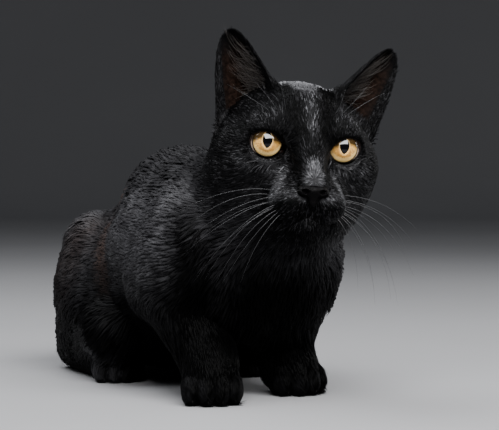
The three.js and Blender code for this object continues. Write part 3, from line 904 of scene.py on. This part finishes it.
def head_way(p):
    """Away from the tip of the nose, and round the eyes."""
    h = head_frame.inside(p)
    way = unit(h - col(0, -33, -17)) + 0.35 * col(0, 1, 0)
    for side in SIDES:
        e = eye_frames[side].inside(p)
        reach = np.hypot(e[0], e[2])
        off = np.stack([e[0], 0 * e[0], e[2]]) / np.maximum(reach, 1e-3)
        near = (1 - smooth(10, 21, reach)) * (np.linalg.norm(e, axis=0) < 26)
        way = way + 2.8 * near * (head_frame.turn.T @ eye_frames[side].turn @ off)
    return head_frame.turn @ unit(way + (1 - smooth(-50, -30, h[2])) * col(0, 0.6, -0.3))


def on_ear(ear, p, over, base):
    """1 on the ear, with soft edges over these distances from its sheet and shares of its height."""
    _, t, off, _ = ear.sheet(head_frame.inside(p))
    return smooth(*over, np.abs(off)) * smooth(*base, t) * (t < 1.1)


def ear_share(p):
    return np.maximum(*(on_ear(ear, p, (7, 3), (-0.12, 0.1)) for ear in ears))


def lie_of_coat(p, z, normal):
    """Which way the hair lies at p, before it's laid along the skin."""
    w = zone_weights(z, 6.0)
    outward = np.sign(p[0]) * col(1, 0, 0)
    # On the chest and throat, the front of the knee and the rear it hangs down.
    front = smooth(-70, -110, p[1]) * smooth(0.42, 0.95, -normal[1])
    knee, rear = smooth(0.3, 0.85, -normal[1]), smooth(0.3, 0.9, normal[1])
    trunk = mixed(mixed(col(0, 1, -0.05), col(0, 0.12, -1), front), col(0, 0.1, -1), rear)
    nape = mixed(col(0, 1, -0.10), col(0, 0.1, -1), front)
    arm = mixed(col(0, -0.5, -0.86), col(0, 1, -0.15), smooth(50, 70, p[2]))
    thigh = mixed(col(0, 1, -0.5) + 0.45 * outward, col(0, 0.2, -0.85) + 0.5 * outward, knee)
    thigh = mixed(thigh, col(0, 0.1, -1), rear)
    down = col(0, -0.55, -0.85)
    toes = sum(np.exp(-np.linalg.norm(p - foot.at, axis=0) / 8) * (foot.turn @ down) for foot in feet)
    way = (w["torso"] * trunk + w["neck"] * nape + w["foreleg"] * arm + w["hind"] * thigh
           + w["hock"] * col(0, -0.9, -0.4) + w["paw"] * unit(toes) + w["tail"] * tail_way(p)
           + w["head"] * head_way(p))
    way = unit(way) + 0.06 * outward
    for ear in ears:
        up = unit(head_frame.turn @ ear.axes[:, 1:2])
        way = mixed(way, up, on_ear(ear, p, (6, 2.5), (-0.1, 0.12)))
    return way


def tuft_sizes(p, z):
    """Length, width and density of the tufts at p."""
    w = zone_weights(z, 5.0)
    sizes = np.array([row[1:] for row in COAT.values()], np.float32).T @ np.stack(list(w.values()))
    h = head_frame.inside(p)
    small = np.maximum(w["head"] * (1 - smooth(-32, 8, h[1])), ear_share(p))
    rim = np.zeros(p.shape[1], np.float32)  # beside the lids
    for side in SIDES:
        reach = np.linalg.norm(eye_frames[side].inside(p), axis=0)
        small = np.maximum(small, 1 - smooth(13, 20, reach))
        rim = np.maximum(rim, 1 - smooth(12, 16, reach))
    length, width, density = (mixed(a, b, small) for a, b in zip(sizes, FACE_TUFTS))
    length = length * (1 - 0.45 * rim)
    for ear in ears:  # short in the fold below the ear's outer edge, and at its tip
        for s, t, less, over in ((1, 0, 0.55, 14), (0, 1, 0.6, 9)):
            off = h - ear.place(np.full(1, s), np.full(1, t))
            length = length * (1 - less * np.exp(-np.linalg.norm(off, axis=0) ** 2 / over**2))
    return length, width, density


GROUPS = ("torso_right", "torso_left", "neck", "foreleg_right", "foreleg_left", "hind_right", "hind_left",
          "tail", "head_right", "head_left")
MAX_TRIANGLES = 196_000


def group_of(p, z):
    """The number in GROUPS of the coat piece that a root at p belongs to."""
    names = np.array(ZONES)[z.argmin(0)]
    h = head_frame.inside(p)
    names[(np.abs(h[0]) < 70) & (h[2] > 18) & (h[1] < 62)] = "head"  # the ears
    names[(names == "hock") | ((names == "paw") & (p[1] > -60))] = "hind"
    names[names == "paw"] = "foreleg"
    sides = np.where(np.where(names == "head", h[0], p[0]) < 0, "_right", "_left")
    full = np.where((names == "neck") | (names == "tail"), names, np.char.add(names, sides))
    return np.array([GROUPS.index(name) for name in full])


def bare(p, normal):
    """Where no tufts grow: the eyes' openings, the nose, the ears' lining, and the flats on the floor."""
    h = head_frame.inside(p)
    off = (p[2] < 0.8) & (normal[2] < -0.5)
    nose = (h - np.array([[0], [-31.2], [-23.4]])) / np.array([[7.6], [7], [5.2]])
    off |= (nose * nose).sum(0) < 1
    for side in SIDES:
        e = eye_frames[side].inside(p)
        x = e[0] * side
        clear = 0.15 + flare(e) * (0.1 + 0.5 * smooth(1, -4, x) * smooth(-11, -8, x))
        off |= (almond(x, e[2], clear) < 0) & (e[1] < 0) & (np.linalg.norm(e, axis=0) < 16)
    for ear in ears:
        s, t, over, _ = ear.sheet(h)
        off |= (over < -0.5) & (over > -8) & (np.abs(s) < 0.74) & (t > 0.02) & (t < 0.93)
    return off


def scatter(at, quads, normal):
    """Roots spread over the skin by the density of its tufts, as places and normals."""
    corners = at[:, quads]  # (3, n, 4)
    middle = corners.mean(2)
    diagonals = corners[:, :, 2] - corners[:, :, 0], corners[:, :, 3] - corners[:, :, 1]
    area = np.linalg.norm(np.cross(*diagonals, axis=0), axis=0) / 2
    total = np.cumsum(area * tuft_sizes(middle, measure(middle)[0])[2])
    count = int(total[-1])
    picks = (np.arange(count) + rng.uniform(0, 1, count)) * total[-1] / count
    quad = np.minimum(np.searchsorted(total, picks), len(quads) - 1)
    a, b = rng.uniform(0, 1, (2, count)).astype(np.float32)
    share = np.stack([(1 - a) * (1 - b), a * (1 - b), a * b, (1 - a) * b])
    root = np.einsum("ijk,kj->ij", corners[:, quad], share)
    up = unit(np.einsum("ijk,kj->ij", normal[:, quads[quad]], share))
    kept = ~bare(root, up)
    return root[:, kept], up[:, kept]


def tuft_faces(rings):
    """Triangles of one tuft: a point at the root, rings of three, and a point at the tip."""
    faces = [(0, 1, 2), (0, 2, 3), (0, 3, 1)]
    for r in range(rings - 1):
        for i in range(3):
            a, b = 3 * r + 1 + i, 3 * r + 1 + (i + 1) % 3
            faces += [(a, b + 3, b), (a, a + 3, b + 3)]
    tip = 3 * rings + 1
    last = tip - 3
    faces += [(last, tip, last + 1), (last + 1, tip, last + 2), (last + 2, tip, last)]
    return np.array(faces, np.int32)


# By number of rings: how far along a tuft each ring and the tip are, and how far they have risen.
STOPS = {1: ((0.42, 0.75), (1.0, 0.8)), 2: ((0.27, 0.55), (0.64, 0.92), (1.0, 0.8))}
PATCH = 0.003  # the size of a tuft's patch on the bake map
SOFT = 1.6  # the weight of the skin's normal in a tuft's shading, next to 1 for its own
LOWEST = 0.05  # how near the floor a tuft comes, in mm


def unwrap(p, normal):
    """The skin laid flat: six charts, one for each way that it can face, three by two."""
    low, high = p.min(1, keepdims=True), p.max(1, keepdims=True)
    share = (p - low) / np.maximum(high - low, 1e-3)
    axis = np.abs(normal).argmax(0)
    chart = axis * 2 + (normal[axis, np.arange(len(axis))] > 0)
    first = np.where(axis == 0, share[1], share[0])
    second = np.where(axis == 2, share[1], share[2])
    return (chart % 3 + 0.03 + 0.94 * first) / 3, (chart // 3 + 0.03 + 0.94 * second) / 2


def tousled(p, normal):
    """How much further, in mm, the hair stands up on the head's top, the back and the edges of the chest."""
    h = head_frame.inside(p)
    back = smooth(112, 136, p[2]) * smooth(-96, -60, p[1]) * (np.abs(h[0]) > 35)
    chest = smooth(-80, -100, p[1]) * smooth(118, 96, p[2]) * smooth(34, 52, p[2])
    chest = chest * smooth(0.95, 0.6, -normal[1])
    return 2.4 * hump(h, (0, 28, 34), (24, 18, 11)) + 2.2 * back + 1.3 * chest


ANY = math.inf  # the width of a hump that is the same all along an axis


def painted_light_and_shade(p, normal, on_head, on_tail):
    """Painted light and shade in the coat's hairs, as light from above falls: lighter on the back, flank and
    feet, darker on the chest and knees.
    """
    half, h = mirror(p), mirror(head_frame.inside(p))
    # Painted shade on the chest under the head and on the knees.
    front = smooth(-70, -105, p[1]) * smooth(0.45, 0.9, -normal[1]) * smooth(122, 108, p[2]) * (1 - on_head)
    knee = hump(p, (0, -6, 46), (ANY, 30, 26)) * smooth(26, 38, half[0])
    # Painted light: a sheen on the flank and rump, and a lift on the thighs, hind paws, toes and whisker
    # pads.
    flank = hump(half, (52, -76, 88), (32, 85, 44))
    rump = hump(p, (0, 70, 100), (ANY, 50, 28))
    thigh = hump(p, (0, 22, 50), (ANY, 34, 22))
    hind = smooth(-60, -40, p[1]) * smooth(20, 6, p[1]) * smooth(30, 18, p[2]) * smooth(38, 48, half[0])
    toes = smooth(-100, -118, p[1]) * smooth(28, 14, p[2])
    pad = hump(h, (9, 0, -35), (9, ANY, 5.5)) * smooth(-14, -22, h[1]) * on_head
    painted_shade = (1 - (0.65 + 0.3 * smooth(46, 70, p[2])) * front) * (1 - 0.65 * knee)
    low = 1 + 1.7 * thigh + 16 * hind * (1 - on_tail) + 3.2 * toes + 1.3 * pad
    light = (1 + 3.0 * flank + 0.9 * rump) * low
    # Painted light from above: the higher the hair, the lighter.
    return (0.32 + 1.4 * smooth(38, 112, p[2])) * painted_shade * light


def comb(root, z, normal):
    """Each tuft's way along the skin, and the way across it."""
    way = lie_of_coat(root, z, normal)
    way = unit(way - normal * (way * normal).sum(0))
    across = np.cross(normal, way, axis=0)
    w = zone_weights(z, 6.0)
    loose = 0.35 + 0.65 * (w["torso"] + w["hind"])
    swing = loose * (0.17 * slow_wave(root) + 0.15 * quick_wave(root)) + rng.normal(0, 0.07, root.shape[1])
    way = unit(way * np.cos(swing) + across * np.sin(swing)).astype(np.float32)
    return way, np.cross(normal, way, axis=0)


def hair_shades(root, normal, way, length, w, small):
    """Each tuft's shade, grey and rust; the shade holds painted light and shade. Tufts behind one another are
    of one lock, and much alike.
    """
    n = root.shape[1]
    drawn = root - 0.8 * way * (way * root).sum(0)
    lock = mixed(broad_lock(drawn), fine_lock(drawn), small)
    grey, rust, painted_shade_share = markings_and_painted_light(root + way * 0.55 * length)
    body = 1.0 + 0.12 * lock + 0.08 * quick_wave(root) + rng.uniform(-0.16, 0.16, n)
    # A few face hairs are painted much lighter than the rest: painted highlights on the black.
    face = 0.10 + 1.4 * smooth(0.72, 1.0, rng.uniform(0, 1, n) + 0.12 * lock)
    # Grey hairs are shaded evenly, with a painted highlight on the crown that fades behind it, and painted
    # shade where the shade rods lie.
    even = 0.65 * smooth(0.2, 0.8, grey) * w["head"]
    behind = head_frame.inside(root)[1]
    crown = smooth(16, 31, behind) - 1.2 * smooth(32, 41, behind)
    face = mixed(face * (1 - 0.8 * painted_shade_share), 0.5 + 0.75 * crown, even)
    # Painted shade on the lower legs and paws, with painted light on their sides.
    legs = (small - w["head"]) * smooth(84, 54, root[2])
    shade = mixed(body, face, w["head"]) * painted_light_and_shade(root, normal, w["head"], w["tail"])
    shade = shade * (1 - 0.78 * legs) * SHADE["stored"] * (1 + legs * (1.9 * normal[0] ** 2 - 0.5))
    pick = 0.5 + 0.2 * lock + rng.uniform(-0.3, 0.3, n)  # most hairs are either grey or black
    picked = smooth(pick - 0.3, pick + 0.3, grey) * smooth(0.03, 0.2, grey)
    return {"shade": np.clip(shade, SHADE["least"], 1), "grey": 0.5 * grey + 0.5 * picked, "rust": rust}


def grow(rings, root, normal):
    """The corners of the tufts at these roots, as (tufts, corners, 3), and the shades of each tuft's hair."""
    n = root.shape[1]
    z, _ = measure(root)
    w = zone_weights(z, 5.0)
    small = w["foreleg"] + w["paw"] + w["hock"] + w["head"]
    length, width, _ = tuft_sizes(root, z)
    way, across = comb(root, z, normal)
    bold = rng.uniform(0, 1, n)  # a few tufts are longer, broader and stand prouder
    length = length * (0.75 + 0.5 * rng.uniform(0, 1, n)) * (1 + 0.25 * (bold > 0.8))
    width = width * (0.7 + 0.45 * rng.uniform(0, 1, n)) * (1 + 0.3 * (bold > 0.8))
    rise = np.clip(0.8 + 0.16 * ruffle(root) + 0.12 * (bold > 0.8) + rng.normal(0, 0.05, n), 0.4, 1.1)
    proud = coat_depth(z, root) * rise + tousled(root, normal) * np.where(bold > 0.76, 1.1, 0.15)
    proud = proud * (1 - 0.72 * ear_share(root))
    parts = [root - normal * 0.5 - way * 0.06 * length]
    for k, (along, risen) in enumerate(STOPS[rings]):
        c = root + way * (along * length) + normal * (risen * proud)
        miss = risen * proud - in_pieces(skin_field, c.astype(np.float32))
        c = c + normal * np.clip(miss, -0.45 * along * length, 0.45 * along * length)
        half = 0.5 * width * (0.82 if k else 1.0)
        ring = [c + across * half, c - across * half, c + normal * half * (0.6 - 0.3 * small)]
        parts += ring if k < rings else [c]
    at = np.stack(parts, 2).transpose(1, 2, 0)
    at[:, :, 2] = np.maximum(at[:, :, 2], LOWEST)
    return at, hair_shades(root, normal, way, length, w, small)


def soften(piece, normal, corners):
    """Shades each tuft mostly as the skin below it, so that the coat looks soft and close."""
    own = np.empty(normal.shape[1] * corners * 3, np.float32)
    piece.data.vertex_normals.foreach_get("vector", own)
    soft = unit(own.reshape(-1, 3).T + SOFT * np.repeat(normal, corners, axis=1)).T
    piece.data.normals_split_custom_set_from_vertices(soft)


def add_bake_map(piece, lean, along, root, normal, faces):
    """Lays each tuft on the map as a small patch, lean by along, where its root is on the skin's charts."""
    u, v = unwrap(root, normal)
    uv = np.stack([u[:, None] + lean * PATCH, v[:, None] + (along - 0.5) * PATCH], 2)
    layer = piece.data.uv_layers.new(name="OFBake")
    layer.data.foreach_set("uv", uv.reshape(-1, 2)[faces.ravel()].astype(np.float32).ravel())


def make_tufts(name, rings, root, normal, material):
    """One coat piece: a joined mesh of thin closed tufts that lie along the skin."""
    at, shades = grow(rings, root, normal)
    n, corners, _ = at.shape
    faces = (tuft_faces(rings)[None] + corners * np.arange(n)[:, None, None]).reshape(-1, 3)
    piece = add_mesh("coat_" + name, to_frame(at.reshape(-1, 3).T).T, faces, 3)
    soften(piece, normal, corners)
    along = np.array([0] + [STOPS[rings][k][0] for k in range(rings) for _ in range(3)] + [1.0])
    add_attribute(piece, "along", np.tile(along, n))
    for key, values in shades.items():
        add_attribute(piece, key, np.repeat(values, corners))
    add_bake_map(piece, np.array([0] + [0.5, -0.5, 0] * rings + [0]), along, root, normal, faces)
    finish_piece(piece, "coat", material)


def make_coat(at, quads, normal):
    root, up = scatter(at, quads, normal)
    group = group_of(root, measure(root)[0])
    material = coat_material()
    for number, name in enumerate(GROUPS):
        rings = 1 if name.startswith("head") else 2
        chosen = np.flatnonzero(group == number)
        most = MAX_TRIANGLES // len(tuft_faces(rings))
        if len(chosen) > most:
            chosen = np.sort(rng.choice(chosen, most, replace=False))
        make_tufts(name, rings, root[:, chosen], up[:, chosen], material)


# ---------------------------------------- eyes, nose, hairs and claws


def circle(count):
    return np.linspace(0, 2 * math.pi, count, endpoint=False)


def lathe(profile, segments):
    """Triangles round the -Y axis from a profile of (radius, y) that starts and ends on the axis."""
    at = [(0, profile[0][1], 0)]
    at += [(r * math.cos(a), y, r * math.sin(a)) for r, y in profile[1:-1] for a in circle(segments)]
    at.append((0, profile[-1][1], 0))
    faces = []
    last = 1 + (len(profile) - 3) * segments
    for i in range(segments):
        j = (i + 1) % segments
        faces.append((0, 1 + j, 1 + i))
        for a in range(1, last, segments):
            b = a + segments
            faces += [(a + i, a + j, b + j), (a + i, b + j, b + i)]
        faces.append((last + i, last + j, len(at) - 1))
    return np.array(at), np.array(faces, np.int32)


def make_eyes():
    angles = np.radians(np.concatenate([np.linspace(0, 70, 36), np.linspace(75, 180, 18)]))
    radii = EYE["radius"] + 0.55 * (1 - smooth(0.0, math.radians(56), angles))  # the cornea stands out
    at, faces = lathe(list(zip(radii * np.sin(angles), -radii * np.cos(angles))), 64)
    for side, word in ((RIGHT, "right"), (LEFT, "left")):
        piece = add_mesh(f"eyeball_{word}", at * MM, faces, 3)
        gaze = gaze_frame(side)
        middle, turn = Vector(to_frame(gaze.at)[:, 0]), Matrix(gaze.turn.tolist())
        piece.matrix_world = Matrix.LocRotScale(middle, turn, None)
        finish_piece(piece, "eye", eye_material(side), f"eye_{word}")


def tubes(name, paths, radii, sides=6, closed=False):
    """A joined mesh of round tubes: paths is (n, points, 3) in mm, radii (n, points)."""
    paths, radii = np.asarray(paths, float), np.asarray(radii, float)
    n, m, _ = paths.shape
    if closed:
        tangent = np.roll(paths, -1, 1) - np.roll(paths, 1, 1)
    else:
        tangent = np.gradient(paths, axis=1)
    tangent /= np.maximum(np.linalg.norm(tangent, axis=2, keepdims=True), 1e-9)
    u = np.cross(tangent, np.array([0.31, 0.22, 0.93]))  # where each ring starts is found from a fixed guide
    u /= np.linalg.norm(u, axis=2, keepdims=True)
    v = np.cross(tangent, u)
    turn = circle(sides)[:, None]
    ring = np.cos(turn) * u[:, :, None] + np.sin(turn) * v[:, :, None]
    at = (paths[:, :, None] + radii[:, :, None, None] * ring).reshape(-1, 3)
    index = np.arange(n * m * sides).reshape(n, m, sides)
    a, b = (index, np.roll(index, -1, 1)) if closed else (index[:, :-1], index[:, 1:])
    a2, b2 = np.roll(a, -1, 2), np.roll(b, -1, 2)
    faces = [np.stack([a, a2, b2], -1), np.stack([a, b2, b], -1)]
    along = np.broadcast_to(np.linspace(0, 1, m)[None, :, None], (n, m, sides)).reshape(-1)
    if not closed:  # a point closes each end
        at = np.concatenate([at, np.stack([paths[:, 0], paths[:, -1]], 1).reshape(-1, 3)])
        along = np.concatenate([along, np.tile([0.0, 1.0], n)])
        start, last = index[:, 0], index[:, -1]
        point = n * m * sides + 2 * np.arange(n)[:, None] + 0 * start
        faces += [np.stack([point, np.roll(start, -1, 1), start], -1),
                  np.stack([point + 1, last, np.roll(last, -1, 1)], -1)]
    every = np.concatenate([f.reshape(-1, 3) for f in faces]).astype(np.int32)
    piece = add_mesh(name, to_frame(at.T).T, every, 3)
    add_attribute(piece, "along", along)
    return piece


LID_POINTS = 96


def lid_outline(side):
    """Points round the opening between the lids, on the eyeball, in the eye's frame."""
    cos, sin = np.cos(circle(LID_POINTS)), np.sin(circle(LID_POINTS))
    low, high = np.zeros(LID_POINTS), np.full(LID_POINTS, 16.0)
    for _ in range(30):
        middle = (low + high) / 2
        inside = almond(middle * cos, middle * sin, 0.3) < 0
        low, high = np.where(inside, middle, low), np.where(inside, high, middle)
    over = EYE["radius"] + 0.35
    y = -np.sqrt(np.maximum(over**2 - low**2, (0.26 * over) ** 2))
    return np.stack([low * cos * side, y, low * sin])


def make_lids():
    """The bare dark margins of the lids, and the small fold of flesh in each inner corner."""
    margins, folds = pair(lid_outline), []
    for side in SIDES:
        x, z = np.linspace(-10.6, -6.6, 9), np.linspace(-3.4, -4.6, 9)
        y = -np.sqrt(np.maximum((EYE["radius"] - 0.3) ** 2 - x**2 - z**2, 5.0))
        folds.append(np.stack([x * side, y, z]))
    thick = 0.34 + 0.26 * smooth(-4, 5, np.stack([line[2] for line in margins]))
    fold_thick = np.tile(1.5 * np.sin(np.linspace(0.25, math.pi - 0.1, 9)) ** 0.7, (2, 1))
    for name, lines, radii, closed in (
        ("lid_margins", margins, thick, True),
        ("lid_corners", folds, fold_thick, False),
    ):
        paths = np.stack([eye_frames[side].out(line).T for side, line in zip(SIDES, lines)])
        finish_piece(tubes(name, paths, radii, 10, closed), "nose_leather", lid_material())


NOSE_GRID = {"spans": ((-10.5, 10.5), (-39, -24), (-33, -16)), "step": 0.32}
nose_front = blend(
    2.0,
    ball((0, -29.4, -23.4), (7.6, 6.4, 3.9)),
    limb((0, -30.6, -25), 4.0, (0, -31.6, -29.5), 2.6),
)
nose_wing = ball((6.0, -29.6, -24.0), (3.4, 4.6, 2.9))
nostril = blend(0.8, limb((3.2, -37.5, -24.4), 1.0, (4.9, -33.0, -23.8), 1.3),
                limb((4.9, -34.4, -23.8), 1.0, (9.2, -30.4, -23.2), 0.5))
groove = blend(0.4, *limbs([((0, -37.2, -23), 0.35), ((0, -36.0, -27), 0.5), ((0, -34.8, -32), 0.6)]))


def nose_field(h):
    """The nose leather in the head frame, with its nostrils and the groove below them."""
    half = mirror(h)
    return carve(0.5, carve(0.7, join(1.5, nose_front(h), nose_wing(half)), nostril(half)), groove(h))


def make_nose():
    grid = [graded((low,), (high, NOSE_GRID["step"])) for low, high in NOSE_GRID["spans"]]
    at, quads = surface(nose_field, grid)
    piece = add_mesh("nose_tip", to_frame(head_frame.out(at)).T, quads, 4)
    finish_piece(piece, "nose_leather", nose_material(), "nose")


# Each hair's root, the point it bends towards and its tip, on the left side of the head frame.
WHISKERS = [
    ((19, -17, -25.5), (44, -23, -22), (70, 4, -42)),
    ((20, -16, -28), (46, -23, -27), (69, 2, -54)),
    ((17, -21, -28.5), (44, -30, -28), (68, -4, -58)),
    ((18.5, -19, -31), (45, -27, -33), (66, -4, -68)),
    ((15.5, -23, -31.5), (41, -34, -38), (60, -10, -80)),
    ((17.5, -20, -34), (38, -30, -42), (50, -8, -72)),
    ((14.5, -23.5, -34.5), (32, -34, -46), (42, -14, -78)),
    ((19, -13, -32), (42, -16, -36), (60, 10, -58)),
    ((16.5, -21.5, -33), (39, -33, -41), (55, -10, -82)),
    ((15, -23, -34), (35, -34, -44), (46, -12, -84)),
    ((13.5, -24, -35.5), (27, -34, -49), (34, -18, -80)),
]
BROWS = [
    ((17, -1, 17.5), (25, -8, 28), (34, -4, 38)),
    ((20, 2, 17), (32, -4, 26), (46, 4, 34)),
    ((13.5, -1.5, 17), (15, -9, 25), (20, -10, 35)),
]


def stiff_hairs(name, table, radius, material):
    """The table's hairs on both sides of the head, each a little different."""
    t = np.linspace(0, 1, 14)
    share = np.stack([(1 - t) ** 2, 2 * t * (1 - t), t**2])
    paths = []
    for side in SIDES:
        for root, through, tip in table:
            off = rng.normal(0, 1.4, 3), rng.normal(0, 2.2, 3)
            line = np.stack([root, through + off[0], tip + off[1]], 1) @ share
            line[0] *= side
            paths.append(head_frame.out(line).T)
    radii = np.tile(radius * (1 - 0.85 * t**1.4), (len(paths), 1))
    finish_piece(tubes(name, np.stack(paths), radii), "coat", material)


EAR_HAIRS = 190  # in each ear


def make_ear_hairs():
    """Fine brown hairs, paler than the lining, that sweep from each ear's inner edge across its opening."""
    paths, radii = [], []
    k = np.linspace(0, 1, 7)
    for ear in ears:
        s0 = rng.uniform(-0.93, -0.2, EAR_HAIRS)
        t0 = rng.beta(1.2, 2.0, EAR_HAIRS) * 0.66
        reach = rng.uniform(0.15, 0.85, EAR_HAIRS) * (1 - 0.5 * t0)
        rise = rng.uniform(0.02, 0.42, EAR_HAIRS)
        for s, t, r, up in zip(s0, t0, reach, rise):
            over = -1.6 - 6.5 * np.sin(k * math.pi * 0.8) * r * (1 - 0.5 * t)
            line = ear.place(s + r * k, t + up * k**1.4 + 0.02, over)
            paths.append(head_frame.out(line).T)
            radii.append(0.11 * (1 - 0.8 * k**1.5))
    piece = tubes("ear_hairs", np.stack(paths), np.stack(radii), 4)
    finish_piece(piece, "ear", hair_material("ear_hair", (0.007, 0.0054, 0.0047), (0.036, 0.028, 0.023), 0.5))


def make_claws():
    """The points of the drawn-in claws, between the hairs at the end of each toe."""
    k = np.linspace(0, 1, 7)
    paths = []
    for foot in feet:
        for x, y, _ in map(toe_place, TOES):
            line = np.stack([np.full_like(k, x), y - 7.0 - 2.8 * k, 5.4 - 1.2 * k - 2.0 * k**2])
            paths.append(foot.out(line).T)
    radii = np.tile(0.62 * (1 - 0.9 * k**1.3), (len(paths), 1))
    finish_piece(tubes("claws", np.stack(paths), radii, 8), "coat", claw_material())


# ---------------------------------------- studio


def make_floor():
    """A pale floor that turns up into a wall all round, far from the cat."""
    shader = Shader("studio_floor", Roughness=0.75, Specular_IOR_Level=0.2)
    shader.give(Base_Color=shader.mix(shader.noise(2.5, 3), (0.195, 0.195, 0.201), (0.222, 0.222, 0.229)))
    profile = [(0.0, 0.0), (1.0, 0.0), (2.4, 0.0), (3.2, 0.0)]
    bend = np.linspace(0.15, math.pi / 2, 10)
    profile += [(3.2 + 1.6 * math.sin(a), 1.6 - 1.6 * math.cos(a)) for a in bend]
    profile += [(4.8, 3.6)]
    at = np.array([(r * math.cos(a), r * math.sin(a), z) for r, z in profile for a in circle(96)])
    index = np.arange(len(at)).reshape(-1, 96)
    beside = np.roll(index, -1, 1)
    quads = np.stack([index[:-1], beside[:-1], beside[1:], index[1:]], -1).reshape(-1, 4)
    floor = add_mesh("floor", at, quads, 4)
    floor.data.materials.append(shader.material)


def light_world():
    """Faint, slightly blue light from all round."""
    world = bpy.data.worlds.new("studio")
    bpy.context.scene.world = world
    world.use_nodes = True
    background = world.node_tree.nodes["Background"]
    background.inputs["Color"].default_value = (0.80, 0.84, 0.92, 1)
    background.inputs["Strength"].default_value = 0.16


def softbox(name, at, aim, extent, power, colour=(1, 1, 1)):
    data = bpy.data.lights.new(name, "AREA")
    data.shape = "RECTANGLE"
    data.size, data.size_y = extent
    data.energy, data.color = power, colour
    light = bpy.data.objects.new(name, data)
    bpy.context.scene.collection.objects.link(light)
    light.location = at
    light.rotation_euler = (Vector(aim) - Vector(at)).to_track_quat("-Z", "Y").to_euler()
    light.visible_camera = False


make_floor()
light_world()
softbox("key", (-0.03, -0.83, 0.93), (0, -0.15, 0.15), (1.18, 0.64), 52)
softbox("left_strip", (-1.3, 0.0, 0.3), (0, -0.1, 0.08), (0.3, 0.9), 1.3)
softbox("top", (-0.45, 0.45, 1.15), (0, 0, 0.1), (1.2, 0.7), 23, (0.96, 0.98, 1.0))
softbox("right_strip", (1.2, 0.2, 0.6), (0, -0.1, 0.12), (0.35, 1.1), 9)

make_coat(*make_skin())
make_eyes()
make_lids()
make_nose()
whisker = hair_material("whisker", (0.02, 0.02, 0.022), (0.05, 0.05, 0.053))
stiff_hairs("whiskers", WHISKERS, 0.122, whisker)
stiff_hairs("brow_whiskers", BROWS, 0.10, whisker)
make_ear_hairs()
make_claws()
